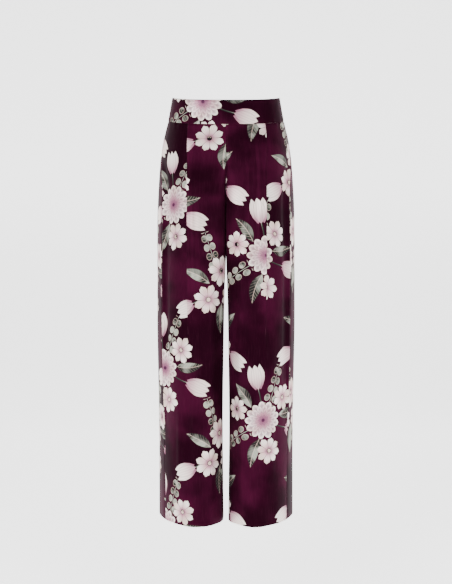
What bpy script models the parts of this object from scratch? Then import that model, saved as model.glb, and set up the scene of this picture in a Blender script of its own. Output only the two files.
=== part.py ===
"""High-waisted palazzo trousers, open and hollow as when worn.

Frame: metres, +Z up. The front faces -Y. Left and right are the wearer's, so the left leg is
at +X. The origin is the centre of the waistband's ring, halfway up the band.

The cloth pieces are the ones that a maker cuts: four leg panels with a curved crotch seam, a
shaped waistband in three pieces, and a concealed zip at the centre back. Each piece is an open
sheet lofted through level outlines of half the garment, with a Solidify wall towards the body.
"""
import math
from bisect import bisect_right

import bmesh
import bpy
from mathutils import Matrix, Vector

# ---- Cloth and seams ---------------------------------------------------------------------
PANEL_WALL = 0.0015         # satin with its turnings, as one wall
BAND_WALL = 0.0025          # the waistband is faced, so it is thicker
TAPE_WALL = 0.0008
SEAM_GAP = 0.0003           # between neighbouring pieces
BAND_PROUD = 0.0004         # the waistband stands this far out of the panels
SEAM_STRIP = 0.003          # narrow column along each long edge, which keeps the walls parallel
SHARP_ANGLE = 35            # degrees between faces, past which an edge shades sharp

# ---- Heights -----------------------------------------------------------------------------
BAND_TOP_Z = 0.0284
BAND_SEAM_Z = -0.0284
CROTCH_Z = -0.286
HEM_Z = -1.019
WAIST_TILT = 0.165          # the waist dips this much for each metre towards the front
WAIST_TILT_BLEND = 0.020    # over this depth about the sides the dip fades to the level back
WAIST_CAMBER = 0.22         # and its front and back are this much rounder than the panels'
WAIST_FADES_Z = -0.197      # both are gone from here down

# ---- Level outline of half the garment ---------------------------------------------------
# A crown is the outermost point of the front or back, on the leg's crease line.
SECTION_COLUMNS = ("z", "half_width", "side_y", "front_x", "front_y", "back_x", "back_y")
SECTIONS = (
    (0.0284, 0.1321, 0.000, 0.059, -0.0865, 0.059, 0.0820),
    (-0.0284, 0.1428, 0.000, 0.064, -0.0925, 0.064, 0.0880),
    (-0.0760, 0.1546, 0.004, 0.067, -0.1050, 0.069, 0.1040),
    (-0.1370, 0.1634, 0.008, 0.070, -0.1140, 0.073, 0.1220),
    (-0.1970, 0.1680, 0.008, 0.072, -0.1190, 0.076, 0.1285),
    (-0.2510, 0.1706, 0.008, 0.072, -0.1225, 0.077, 0.1275),
    (-0.3260, 0.1720, 0.008, 0.071, -0.1255, 0.077, 0.1230),
    (-0.4260, 0.1725, 0.007, 0.070, -0.1275, 0.077, 0.1170),
    (-0.5270, 0.1731, 0.006, 0.068, -0.1280, 0.076, 0.1140),
    (-0.7290, 0.1703, 0.005, 0.067, -0.1270, 0.076, 0.1120),
    (-0.8320, 0.1697, 0.005, 0.066, -0.1260, 0.076, 0.1120),
    (-1.0190, 0.1706, 0.005, 0.065, -0.1260, 0.077, 0.1120),
)

# Where the seams run. seam_y is the centre seam down to the crotch and the inseam below it;
# a corner is where the inner side of a leg turns to its front or back.
SEAM_COLUMNS = ("z", "front_gap", "seam_gap", "back_gap", "front_seam_y", "front_corner_y",
                "back_corner_y", "back_seam_y", "side_seam_y")
SEAMS = (
    (0.0284, 0.00015, 0.00015, 0.00015, -0.0865, -0.0865, 0.0820, 0.0820, 0.000),
    (-0.0284, 0.00015, 0.00015, 0.00015, -0.0925, -0.0925, 0.0880, 0.0880, 0.000),
    (-0.0760, 0.00015, 0.00015, 0.00015, -0.1020, -0.1020, 0.1020, 0.1020, -0.008),
    (-0.1370, 0.00015, 0.00015, 0.00015, -0.1040, -0.1040, 0.1170, 0.1170, -0.034),
    (-0.1970, 0.00015, 0.00015, 0.00015, -0.0940, -0.0940, 0.1160, 0.1160, -0.053),
    (-0.2260, 0.00020, 0.00020, 0.00020, -0.0750, -0.0920, 0.1110, 0.1020, -0.058),
    (-0.2510, 0.00020, 0.00020, 0.00025, -0.0480, -0.0900, 0.1060, 0.0800, -0.060),
    (-0.2710, 0.00022, 0.00022, 0.00028, -0.0180, -0.0880, 0.1010, 0.0500, -0.060),
    (-0.2860, 0.00025, 0.00025, 0.00030, 0.0120, -0.0870, 0.0970, 0.0120, -0.060),
    (-0.3260, 0.00035, 0.00035, 0.00045, 0.0120, -0.0850, 0.0920, 0.0120, -0.060),
    (-0.3760, 0.00080, 0.00100, 0.00140, 0.0120, -0.0820, 0.0870, 0.0120, -0.060),
    (-0.4490, 0.00350, 0.00500, 0.00700, 0.0120, -0.0780, 0.0820, 0.0120, -0.060),
    (-0.5500, 0.00530, 0.00700, 0.00900, 0.0120, -0.0730, 0.0760, 0.0120, -0.060),
    (-0.7800, 0.00800, 0.01000, 0.01200, 0.0120, -0.0650, 0.0660, 0.0120, -0.060),
    (-0.9380, 0.00650, 0.00850, 0.01100, 0.0120, -0.0600, 0.0610, 0.0120, -0.060),
    (-1.0190, 0.00560, 0.00800, 0.01050, 0.0120, -0.0600, 0.0600, 0.0120, -0.060),
)

# How square each quarter of the outline is: 2 is an ellipse, less is flatter.
POWER_COLUMNS = ("z", "front_inner", "front_outer", "back_inner", "back_outer")
POWERS = (
    (0.0284, 2.3, 2.20, 2.2, 2.25),
    (-0.0760, 2.3, 2.05, 2.2, 2.10),
    (-0.1970, 2.3, 1.80, 2.2, 1.95),
    (-0.4460, 1.8, 1.78, 1.9, 1.95),
    (-1.0190, 1.5, 1.75, 1.7, 1.90),
)

# ---- Pleats and folds --------------------------------------------------------------------
PLEAT_X = {"left": 0.0955, "right": 0.0920}     # fold edge of each front knife pleat
PLEAT_SLOPE = 0.036         # width over which the cloth rises to the fold edge
PLEAT_DROP = 0.0025         # width of the step down on its outer side
PLEAT_COLUMNS = ("z", "rise")
PLEAT = (
    (-0.0284, 0.0010),
    (-0.0590, 0.0026),
    (-0.1470, 0.0040),
    (-0.2960, 0.0050),
    (-0.4460, 0.0038),
    (-0.5880, 0.0000),
)

# Soft folds. A place is measured along the cloth from a panel's crease line ("crown", towards
# the side seam) or from its side seam ("side", inwards); height is outwards, so a trough is
# negative.
FOLD_COLUMNS = ("panel", "origin", "top", "bottom", "z_top", "z_bottom", "reach", "height")
FOLDS = (
    ("front", "side", 0.000, 0.000, -0.088, -0.800, 0.012, 0.0035),
    ("back", "side", 0.000, 0.000, -0.088, -0.800, 0.012, 0.0035),
    ("front", "side", 0.022, 0.020, -0.098, -0.700, 0.014, -0.0030),
    ("front", "crown", -0.034, -0.030, -0.326, -0.990, 0.022, 0.0035),
    ("front", "crown", 0.018, 0.022, -0.517, -1.000, 0.020, -0.0035),
    ("back", "crown", 0.030, 0.040, -0.177, -0.990, 0.030, 0.0050),
    ("back", "crown", -0.020, -0.015, -0.256, -1.000, 0.026, -0.0045),
    ("back", "crown", 0.085, 0.090, -0.236, -0.907, 0.026, -0.0040),
)

FOLD_EASE = 0.10            # height over which a fold starts and ends

# ---- Sheet grids -------------------------------------------------------------------------
ROW_LEVELS = (-0.049, -0.076, -0.108, -0.137, -0.167, -0.197, -0.224, -0.246, -0.264, -0.277,
              CROTCH_Z, -0.306, -0.341, -0.386, -0.446, -0.517, -0.588, -0.659, -0.741,
              -0.832, -0.927)
OUTLINE_STEPS = 48          # points in each quarter of an outline
CORNER_SHARE = 0.22         # least share of the inner side that its first columns take
BAND_STEPS = 4              # rows of faces in the waistband
BAND_COLUMNS = 9            # and columns from the centre to the side seam

# ---- Concealed zip -----------------------------------------------------------------------
ZIP_END_Z = -0.167
TAPE_HALF_WIDTH = 0.012
TAPE_BELOW_TOP = 0.002
TAPE_ROWS = 10
SLIDER_BELOW_TOP = 0.012    # slider's centre below the band's top edge
SLIDER_WIDTH = 0.0070
SLIDER_HEIGHT = 0.0100
SLIDER_THICK = 0.0016
ARCH_WIDTH = 0.0016
ARCH_HALF_OPEN = 0.0017     # half the arch's opening, along the zip
ARCH_LEG = 0.0009
PULL_THICK = 0.0010
PULL_LENGTH = 0.0220        # from the hinge to the tip
PULL_ARM = 0.0012
PULL_NECK = 0.80            # half width of its neck, as a share of its head's
PULL_NECK_DROP = 0.0030
PULL_CORNER = 0.0004
PULL_TIP_HALF = 0.0033
PULL_TIP_ANGLES = range(-12, 75, 17)    # degrees round the tip's circle, down from its side
TURN_CLEARANCE = 0.00035    # between the pull and the slider, all round its turn

# ---- Finish: colour, roughness, metallic -------------------------------------------------
FINISHES = {
    "satin_print": ((0.13, 0.020, 0.055), 0.38, 0.0),
    "zip_tape": ((0.07, 0.012, 0.030), 0.80, 0.0),
    "zip_metal": ((0.09, 0.016, 0.040), 0.35, 0.6),
}


# ---- Tables ------------------------------------------------------------------------------
def read_table(rows, columns, z, name):
    """The named column at height z, by monotone cubic steps between a table's rows."""
    column = columns.index(name)
    heights = [-row[0] for row in rows]
    values = [row[column] for row in rows]
    depth = min(max(-z, heights[0]), heights[-1])
    last = len(rows) - 2
    k = min(bisect_right(heights, depth) - 1, last)
    spans = [heights[i + 1] - heights[i] for i in range(last + 1)]
    slopes = [(values[i + 1] - values[i]) / spans[i] for i in range(last + 1)]

    def tangent(i):
        if i == 0:
            return slopes[0]
        if i > last:
            return slopes[last]
        before, after = slopes[i - 1], slopes[i]
        return 0.0 if before * after <= 0 else 2.0 * before * after / (before + after)

    t = (depth - heights[k]) / spans[k]
    rise = spans[k] * ((t ** 3 - 2 * t ** 2 + t) * tangent(k) + (t ** 3 - t ** 2) * tangent(k + 1))
    blend = 3 * t ** 2 - 2 * t ** 3
    return values[k] * (1 - blend) + values[k + 1] * blend + rise


def section(z, name):
    return read_table(SECTIONS, SECTION_COLUMNS, z, name)


def seam(z, name):
    return read_table(SEAMS, SEAM_COLUMNS, z, name)


def power(z, name):
    return read_table(POWERS, POWER_COLUMNS, z, name)


def waist_share(z):
    """1 at the waistband, easing to 0 where the waist's own shape ends."""
    t = min(max((z - WAIST_FADES_Z) / (BAND_SEAM_Z - WAIST_FADES_Z), 0.0), 1.0)
    return t * t * (3 - 2 * t)


def waist_rise(z, y):
    """How far the tilt of the waist lifts a point of the level outline at z."""
    forward = (y - math.sqrt(y * y + WAIST_TILT_BLEND ** 2)) / 2
    return WAIST_TILT * forward * waist_share(z)


# ---- Outline -----------------------------------------------------------------------------
def quarter(start, end, squareness, turns_to_end_x):
    """A superellipse quarter from start to end; it leaves start along x or along y."""
    points = []
    for i in range(OUTLINE_STEPS + 1):
        angle = math.pi / 2 * i / OUTLINE_STEPS
        fast = math.sin(angle) ** (2 / squareness)
        slow = 1 - math.cos(angle) ** (2 / squareness)
        along_x, along_y = (fast, slow) if turns_to_end_x else (slow, fast)
        points.append((start[0] + (end[0] - start[0]) * along_x,
                       start[1] + (end[1] - start[1]) * along_y))
    return points


class Outline:
    """One half (front or back) of the level outline at z, from the inner seam to the side.

    Positions along it are arc lengths from the inner seam; marks names the ones that matter.
    """

    def __init__(self, panel, z):
        inner = (seam(z, "seam_gap"), seam(z, panel + "_seam_y"))
        corner = (seam(z, panel + "_gap"), seam(z, panel + "_corner_y"))
        crown = (section(z, panel + "_x"), section(z, panel + "_y"))
        side = (section(z, "half_width"), section(z, "side_y"))
        run = [inner] + quarter(corner, crown, power(z, panel + "_inner"), False)
        crown_index = len(run) - 1
        run += quarter(crown, side, power(z, panel + "_outer"), True)[1:]
        side_seam_y = seam(z, "side_seam_y")
        if panel == "front":
            cut = next((i for i in range(crown_index, len(run)) if run[i][1] >= side_seam_y),
                       len(run) - 1)
            run = run[:cut + 1]
        else:
            front_crown = (section(z, "front_x"), section(z, "front_y"))
            front = quarter(front_crown, side, power(z, "front_outer"), True)
            run += [point for point in reversed(front[:-1]) if point[1] >= side_seam_y]
        camber = WAIST_CAMBER * waist_share(z)
        run = [(x, y * (1 - camber * (x / side[0]) ** 2)) for x, y in run]
        self.points = [run[0]]
        self.lengths = [0.0]
        self.marks = {"inner": 0.0}
        for i, point in enumerate(run[1:], start=1):
            step = math.dist(point, self.points[-1])
            if step > 1e-6:
                self.lengths.append(self.lengths[-1] + step)
                self.points.append(point)
            if i == 1:
                self.marks["corner"] = self.lengths[-1]
            if i == crown_index:
                self.marks["crown"] = self.lengths[-1]
        self.marks["side"] = self.lengths[-1]
        self.marks["corner"] = max(self.marks["corner"], CORNER_SHARE * self.marks["crown"])
        self.z = z
        self.panel = panel

    def base(self, length):
        """The point at an arc length."""
        length = min(max(length, 0.0), self.lengths[-1])
        k = min(bisect_right(self.lengths, length) - 1, len(self.lengths) - 2)
        share = (length - self.lengths[k]) / (self.lengths[k + 1] - self.lengths[k])
        a, b = self.points[k], self.points[k + 1]
        return a[0] + (b[0] - a[0]) * share, a[1] + (b[1] - a[1]) * share

    def outward(self, length):
        """The level direction out of the garment at an arc length."""
        a = self.base(length - SEAM_STRIP / 2)
        b = self.base(length + SEAM_STRIP / 2)
        tangent = Vector((b[0] - a[0], b[1] - a[1])).normalized()
        turn = 1.0 if self.panel == "front" else -1.0
        return Vector((tangent.y, -tangent.x)) * turn

    def length_at_x(self, x):
        """The arc length beyond the crown at which the outline is x out from the centre."""
        start = self.lengths.index(self.marks["crown"])
        for i in range(start, len(self.points) - 1):
            a, b = self.points[i][0], self.points[i + 1][0]
            if a <= x < b:
                return self.lengths[i] + (self.lengths[i + 1] - self.lengths[i]) * (x - a) / (b - a)
        return self.lengths[-1]


# ---- Relief ------------------------------------------------------------------------------
def bump(distance, reach):
    """A soft ridge, 1 across a seam's strip at its line and 0 at reach."""
    away = max(abs(distance) - SEAM_STRIP, 0.0) / (reach - SEAM_STRIP)
    return 0.0 if away >= 1 else math.cos(away * math.pi / 2) ** 2


def fade(z, z_top, z_bottom):
    """Grows from 0 at both ends of a fold to 1 within FOLD_EASE."""
    inside = min(z_top - z, z - z_bottom) / FOLD_EASE
    t = min(max(inside, 0.0), 1.0)
    return t * t * (3 - 2 * t)


def fold_relief(outline, length):
    """Outward height of the soft folds at an arc length of an outline."""
    height = 0.0
    for row in FOLDS:
        fold = dict(zip(FOLD_COLUMNS, row))
        if fold["panel"] != outline.panel:
            continue
        share = (outline.z - fold["z_top"]) / (fold["z_bottom"] - fold["z_top"])
        place = fold["top"] + (fold["bottom"] - fold["top"]) * min(max(share, 0.0), 1.0)
        if fold["origin"] == "crown":
            away = length - outline.marks["crown"] - place
        else:
            away = outline.marks["side"] - length - place
        strength = fade(outline.z, fold["z_top"], fold["z_bottom"])
        height += fold["height"] * strength * bump(away, fold["reach"])
    return height


def pleat_relief(outline, length, pleat_length):
    """Height of the knife pleat: a slope up to its fold edge and a short step down."""
    rise = read_table(PLEAT, PLEAT_COLUMNS, outline.z, "rise")
    away = length - pleat_length
    if away <= 0:
        t = min(max(1 + away / PLEAT_SLOPE, 0.0), 1.0)
        return rise * t * t * (3 - 2 * t)
    return rise * max(1 - away / PLEAT_DROP, 0.0)


# ---- Meshes ------------------------------------------------------------------------------
def spread(marks, counts):
    """Lengths through the marks, with counts[i] equal steps from one mark to the next."""
    lengths = [marks[0]]
    for start, end, count in zip(marks, marks[1:], counts):
        lengths += [start + (end - start) * (i + 1) / count for i in range(count)]
    return lengths


def sheet_mesh(name, rows, flip):
    """An open sheet of quads through rows of equally many points."""
    mesh = bpy.data.meshes.new(name)
    width = len(rows[0])
    faces = []
    for r in range(len(rows) - 1):
        for c in range(width - 1):
            a = r * width + c
            quad = (a, a + 1, a + 1 + width, a + width)
            faces.append(quad[::-1] if flip else quad)
    mesh.from_pydata([point for row in rows for point in row], [], faces)
    mesh.validate()
    return mesh


def add_object(name, mesh, collection, finish):
    """A named object with its own material."""
    item = bpy.data.objects.new(name, mesh)
    collection.objects.link(item)
    colour, roughness, metallic = FINISHES[finish]
    material = bpy.data.materials.new(name + "_" + finish)
    material.use_nodes = True
    shader = material.node_tree.nodes["Principled BSDF"]
    shader.inputs["Base Color"].default_value = (*colour, 1.0)
    shader.inputs["Roughness"].default_value = roughness
    shader.inputs["Metallic"].default_value = metallic
    mesh.materials.append(material)
    return item


def add_wall(item, thickness):
    """Gives a sheet its thickness, inwards from the outer face."""
    wall = item.modifiers.new("wall", "SOLIDIFY")
    wall.thickness = thickness
    wall.offset = -1.0
    wall.use_even_offset = True
    wall.use_rim = True
    for polygon in item.data.polygons:
        polygon.use_smooth = True
    item.data.set_sharp_from_angle(angle=math.radians(SHARP_ANGLE))


# ---- Leg panels --------------------------------------------------------------------------
def panel_rows(panel, side):
    """The points of a leg panel, row by row from the waist seam down to the hem."""
    sign = 1.0 if side == "left" else -1.0
    half_gap = SEAM_GAP / 2
    rows = []
    for z in (BAND_SEAM_Z - half_gap,) + ROW_LEVELS + (HEM_Z,):
        outline = Outline(panel, z)
        corner = outline.marks["corner"]
        crown = outline.marks["crown"]
        last = outline.marks["side"] - half_gap
        if panel == "front":
            pleat = outline.length_at_x(PLEAT_X[side])
            marks = (half_gap, half_gap + SEAM_STRIP, corner, crown, pleat - PLEAT_SLOPE / 4,
                     pleat, pleat + PLEAT_DROP, last - SEAM_STRIP, last)
            counts = (1, 2, 7, 2, 1, 1, 5, 1)
        else:
            pleat = None
            marks = (half_gap, half_gap + SEAM_STRIP, corner, crown, last - SEAM_STRIP, last)
            counts = (1, 2, 7, 10, 1)
        row = []
        for length in spread(marks, counts):
            x, y = outline.base(length)
            height = fold_relief(outline, length)
            if pleat is not None:
                height += pleat_relief(outline, length, pleat)
            out = outline.outward(length) * height
            # the inner seams of the two legs keep clear of each other
            x = max(x + out.x, half_gap)
            y += out.y
            row.append((sign * x, y, z + waist_rise(z, y)))
        rows.append(row)
    return rows


def build_panel(panel, side, collection):
    mirrored = side == "right"
    name = panel + "_" + side
    mesh = sheet_mesh(name, panel_rows(panel, side), flip=(panel == "front") != mirrored)
    item = add_object(name, mesh, collection, "satin_print")
    add_wall(item, PANEL_WALL)


# ---- Waistband ---------------------------------------------------------------------------
def band_half(panel, z):
    """Points of half the band's ring at z, from the centre to the side seam."""
    half_gap = SEAM_GAP / 2
    outline = Outline(panel, z)
    last = outline.marks["side"] - half_gap
    marks = (half_gap, half_gap + SEAM_STRIP, last - SEAM_STRIP, last)
    points = []
    for length in spread(marks, (1, BAND_COLUMNS, 1)):
        x, y = outline.base(length)
        out = outline.outward(length) * BAND_PROUD
        x += out.x
        y += out.y
        points.append((max(x, half_gap), y, z + waist_rise(z, y)))
    return points


def band_levels():
    """Heights of the band's rows, top to bottom."""
    bottom = BAND_SEAM_Z + SEAM_GAP / 2
    return [BAND_TOP_Z + (bottom - BAND_TOP_Z) * i / BAND_STEPS for i in range(BAND_STEPS + 1)]


def build_waistband(collection):
    front_rows = []
    for z in band_levels():
        half = band_half("front", z)
        middle = (0.0, half[0][1], half[0][2])
        mirrored = [(-x, y, height) for x, y, height in reversed(half[1:])]
        front_rows.append(mirrored + [middle] + half[1:])
    mesh = sheet_mesh("waistband_front", front_rows, flip=True)
    add_wall(add_object("waistband_front", mesh, collection, "satin_print"), BAND_WALL)
    for side in ("left", "right"):
        rows = []
        for z in band_levels():
            half = band_half("back", z)
            rows.append([(x if side == "left" else -x, y, height) for x, y, height in half])
        mesh = sheet_mesh("waistband_back_" + side, rows, flip=side == "right")
        item = add_object("waistband_back_" + side, mesh, collection, "satin_print")
        add_wall(item, BAND_WALL)


# ---- Zip ---------------------------------------------------------------------------------
def build_zip_tape(collection):
    """The tape lies behind the centre-back seam, just inside the walls beside it."""
    rows = []
    top_z = BAND_TOP_Z - TAPE_BELOW_TOP
    for i in range(TAPE_ROWS):
        z = top_z + (ZIP_END_Z - top_z) * i / (TAPE_ROWS - 1)
        outline = Outline("back", z)
        deepest = min(outline.base(TAPE_HALF_WIDTH * share)[1] for share in (0.0, 0.5, 1.0))
        y = deepest - BAND_WALL - SEAM_GAP
        rows.append([(x, y, z + waist_rise(z, y)) for x in (-TAPE_HALF_WIDTH, 0.0, TAPE_HALF_WIDTH)])
    mesh = sheet_mesh("zip_tape", rows, flip=False)
    add_wall(add_object("zip_tape", mesh, collection, "zip_tape"), TAPE_WALL)


def zip_frame():
    """Matrix of the slider: x across, y out of the cloth, z up along the zip."""
    z = BAND_TOP_Z - SLIDER_BELOW_TOP
    step = SLIDER_HEIGHT / 2
    here, above = seam(z, "back_seam_y"), seam(z + step, "back_seam_y")
    up = Vector((0.0, above - here, step + waist_rise(z + step, above) - waist_rise(z, here)))
    up.normalize()
    across = Vector((1.0, 0.0, 0.0))
    out = up.cross(across)
    origin = Vector((0.0, here, z + waist_rise(z, here))) + out * BAND_PROUD
    return Matrix((
        (across.x, out.x, up.x, origin.x),
        (across.y, out.y, up.y, origin.y),
        (across.z, out.z, up.z, origin.z),
        (0.0, 0.0, 0.0, 1.0),
    ))


HINGE_OUT = SEAM_GAP + SLIDER_THICK + PULL_THICK / 2 + TURN_CLEARANCE


def block(name, size, centre):
    """A box as a mesh object, in the zip's own frame."""
    mesh = bpy.data.meshes.new(name)
    shape = bmesh.new()
    bmesh.ops.create_cube(shape, size=1.0)
    bmesh.ops.scale(shape, vec=size, verts=shape.verts)
    bmesh.ops.translate(shape, vec=centre, verts=shape.verts)
    shape.to_mesh(mesh)
    shape.free()
    return bpy.data.objects.new(name, mesh)


def add_boolean(item, operation, other):
    step = item.modifiers.new(operation.lower(), "BOOLEAN")
    step.operation = operation
    step.object = other
    other.hide_render = True
    other.display_type = "WIRE"


def build_zip_slider(collection, cutters):
    """A flat body with an arch over the pull's bar."""
    frame = zip_frame()
    body_top = SEAM_GAP + SLIDER_THICK
    arch_open = PULL_THICK + 2 * TURN_CLEARANCE
    arch_out = arch_open + ARCH_LEG
    body = block("zip_slider", (SLIDER_WIDTH, SLIDER_THICK, SLIDER_HEIGHT),
                 (0.0, SEAM_GAP + SLIDER_THICK / 2, 0.0))
    sink = SLIDER_THICK / 2
    arch = block("arch_form", (ARCH_WIDTH, arch_out + sink, 2 * (ARCH_HALF_OPEN + ARCH_LEG)),
                 (0.0, body_top + (arch_out - sink) / 2, 0.0))
    opening = block("arch_opening", (2 * ARCH_WIDTH, arch_open, 2 * ARCH_HALF_OPEN),
                    (0.0, body_top + arch_open / 2, 0.0))
    for form in (arch, opening):
        cutters.objects.link(form)
        form.matrix_world = frame
    mesh = body.data
    bpy.data.objects.remove(body)
    item = add_object("zip_slider", mesh, collection, "zip_metal")
    item.matrix_world = frame
    add_boolean(item, "UNION", arch)
    add_boolean(item, "DIFFERENCE", opening)


def pull_outline():
    """Half of the teardrop, from the top bar down to the tip, as (half width, height)."""
    head = ARCH_WIDTH / 2 + TURN_CLEARANCE + PULL_ARM
    top = PULL_THICK / 2
    shoulder = pull_slot()[2] - PULL_ARM
    points = [(head - PULL_CORNER, top), (head, top - PULL_CORNER), (head, shoulder)]
    points.append((head * PULL_NECK, shoulder - PULL_NECK_DROP))
    centre = PULL_TIP_HALF - PULL_LENGTH
    for degrees in PULL_TIP_ANGLES:
        angle = math.radians(degrees)
        points.append((PULL_TIP_HALF * math.cos(angle), centre - PULL_TIP_HALF * math.sin(angle)))
    return points + [(0.0, -PULL_LENGTH)]


def pull_slot():
    """The slot below the top bar, which clears the arch as the pull turns round it."""
    half = ARCH_WIDTH / 2 + TURN_CLEARANCE
    reach = math.hypot(ARCH_HALF_OPEN + ARCH_LEG, PULL_THICK / 2 + TURN_CLEARANCE + ARCH_LEG)
    return half, -PULL_THICK / 2, -(reach + TURN_CLEARANCE)


def build_zip_pull(collection, cutters):
    """A teardrop tab whose origin is on its hinge, the bar under the slider's arch."""
    half = pull_outline()
    loop = half + [(-x, z) for x, z in reversed(half) if x > 0]
    mesh = bpy.data.meshes.new("zip_pull")
    shape = bmesh.new()
    front = [shape.verts.new((x, -PULL_THICK / 2, z)) for x, z in loop]
    face = shape.faces.new(front)
    moved = bmesh.ops.extrude_face_region(shape, geom=[face])["geom"]
    corners = [part for part in moved if isinstance(part, bmesh.types.BMVert)]
    bmesh.ops.translate(shape, vec=(0.0, PULL_THICK, 0.0), verts=corners)
    bmesh.ops.recalc_face_normals(shape, faces=shape.faces)
    shape.to_mesh(mesh)
    shape.free()
    item = add_object("zip_pull", mesh, collection, "zip_metal")
    item.matrix_world = zip_frame() @ Matrix.Translation((0.0, HINGE_OUT, 0.0))
    slot_half, slot_top, slot_bottom = pull_slot()
    slot = block("pull_slot", (2 * slot_half, 3 * PULL_THICK, slot_top - slot_bottom),
                 (0.0, 0.0, (slot_top + slot_bottom) / 2))
    cutters.objects.link(slot)
    slot.matrix_world = item.matrix_world
    add_boolean(item, "DIFFERENCE", slot)


# ---- Build -------------------------------------------------------------------------------
def main():
    for item in list(bpy.data.objects):
        bpy.data.objects.remove(item)
    parts = bpy.data.collections.new("palazzo_trousers")
    cutters = bpy.data.collections.new("cutters")
    for group in (parts, cutters):
        bpy.context.scene.collection.children.link(group)
    build_waistband(parts)
    for panel in ("front", "back"):
        for side in ("left", "right"):
            build_panel(panel, side, parts)
    build_zip_tape(parts)
    build_zip_slider(parts, cutters)
    build_zip_pull(parts, cutters)
    bpy.context.view_layer.update()


main()
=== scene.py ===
"""Looks of the floral satin palazzo trousers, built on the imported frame.

Every cloth piece is a thin closed shell on its own panel's form, with the pleats, folds, seams and
hems that a maker's cut gives it. The print is drawn on the cloth's flat coordinates, in metres, so
it breaks at the seams and in the pleats as cut cloth does.
"""
import logging
import math
from dataclasses import dataclass, field
from enum import Enum
from typing import Any, Sequence

import bmesh
import bpy
import numpy as np
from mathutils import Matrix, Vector


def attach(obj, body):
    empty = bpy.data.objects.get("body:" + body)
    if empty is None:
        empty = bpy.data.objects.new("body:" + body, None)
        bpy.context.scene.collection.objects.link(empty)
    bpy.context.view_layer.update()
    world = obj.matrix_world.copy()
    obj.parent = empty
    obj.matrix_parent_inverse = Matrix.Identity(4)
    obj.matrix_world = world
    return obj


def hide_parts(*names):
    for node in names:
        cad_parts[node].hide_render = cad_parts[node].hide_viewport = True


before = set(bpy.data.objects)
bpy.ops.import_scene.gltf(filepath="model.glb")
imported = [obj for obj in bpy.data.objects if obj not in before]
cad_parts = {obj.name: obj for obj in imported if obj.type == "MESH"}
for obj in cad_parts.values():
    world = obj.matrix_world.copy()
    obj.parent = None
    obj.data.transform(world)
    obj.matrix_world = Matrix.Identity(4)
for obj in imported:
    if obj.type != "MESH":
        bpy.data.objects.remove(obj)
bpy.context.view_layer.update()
LOG = logging.getLogger("palazzo_trousers")
BODY = "trousers"
PULL_BODY = "zip_pull"


# ---- The form, as the frame's panels have it ------------------------------------------------
SEAM_GAP = 0.0003
BAND_PROUD = 0.0004
SEAM_STRIP = 0.003
BAND_TOP_Z = 0.0284
BAND_SEAM_Z = -0.0284
HEM_Z = -1.019
WAIST_TILT = 0.165
WAIST_TILT_BLEND = 0.020
WAIST_CAMBER = 0.22
WAIST_FADES_Z = -0.197
PLEAT_SLOPE = 0.036
ZIP_END_Z = -0.167
BAND_WALL = 0.0025
TAPE_HALF_WIDTH = 0.012

# From the crotch down to here the legs press together. Their facing sides stay smooth and bend
# the same way, so that they keep their distance and no light passes straight between them.
LEGS_PART_Z = -0.320
LEGS_PART_FADE = 0.080
PRESS_BEND = 0.0013
PRESS_WAVE = 75.0
PRESS_WIDTH = 0.005
PRESS_TOP_Z = -0.175
PRESS_TOP_FADE = 0.020


class Face(Enum):
    """Which half of the garment's outline a piece lies on."""

    FRONT = "front"
    BACK = "back"


class Side(Enum):
    """The wearer's side. The left leg is at +X."""

    LEFT = 1.0
    RIGHT = -1.0

    @property
    def word(self) -> str:
        """The side's name in lower case, as the frame's nodes spell it."""
        return self.name.lower()


@dataclass(frozen=True)
class LevelTable:
    """Named values at a few heights, joined by monotone cubic steps.

    Args:
        columns: names of the values that follow the height in each row.
        rows: heights from the top down, each with its values.
    """

    columns: tuple[str, ...]
    rows: tuple[tuple[float, ...], ...]

    def at(self, z: float, name: str) -> float:
        """The named value at height z.

        Args:
            z: height in metres.
            name: one of the columns.

        Returns:
            The value, held at the first and last rows' beyond them.
        """
        column = self.columns.index(name) + 1
        depths = [-row[0] for row in self.rows]
        values = [row[column] for row in self.rows]
        depth = min(max(-z, depths[0]), depths[-1])
        last = len(self.rows) - 2
        k = min(sum(1 for d in depths[1:] if d <= depth), last)
        spans = [b - a for a, b in zip(depths, depths[1:])]
        slopes = [(b - a) / s for a, b, s in zip(values, values[1:], spans)]

        def tangent(i: int) -> float:
            """Slope through row i that keeps the curve between its rows."""
            if i == 0 or i > last:
                return slopes[min(i, last)]
            before, after = slopes[i - 1], slopes[i]
            return 0.0 if before * after <= 0 else 2.0 * before * after / (before + after)

        t = (depth - depths[k]) / spans[k]
        bend = (t**3 - 2 * t**2 + t) * tangent(k) + (t**3 - t**2) * tangent(k + 1)
        blend = 3 * t**2 - 2 * t**3
        return values[k] * (1 - blend) + values[k + 1] * blend + bend * spans[k]


SECTIONS = LevelTable(
    ("half_width", "side_y", "front_x", "front_y", "back_x", "back_y"),
    (
        (0.0284, 0.1321, 0.000, 0.059, -0.0865, 0.059, 0.0820),
        (-0.0284, 0.1428, 0.000, 0.064, -0.0925, 0.064, 0.0880),
        (-0.0760, 0.1546, 0.004, 0.067, -0.1050, 0.069, 0.1040),
        (-0.1370, 0.1634, 0.008, 0.070, -0.1140, 0.073, 0.1220),
        (-0.1970, 0.1680, 0.008, 0.072, -0.1190, 0.076, 0.1285),
        (-0.2510, 0.1706, 0.008, 0.072, -0.1225, 0.077, 0.1275),
        (-0.3260, 0.1720, 0.008, 0.071, -0.1255, 0.077, 0.1230),
        (-0.4260, 0.1725, 0.007, 0.070, -0.1275, 0.077, 0.1170),
        (-0.5270, 0.1731, 0.006, 0.068, -0.1280, 0.076, 0.1140),
        (-0.7290, 0.1703, 0.005, 0.067, -0.1270, 0.076, 0.1120),
        (-0.8320, 0.1697, 0.005, 0.066, -0.1260, 0.076, 0.1120),
        (-1.0190, 0.1706, 0.005, 0.065, -0.1260, 0.077, 0.1120),
    ),
)
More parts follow.
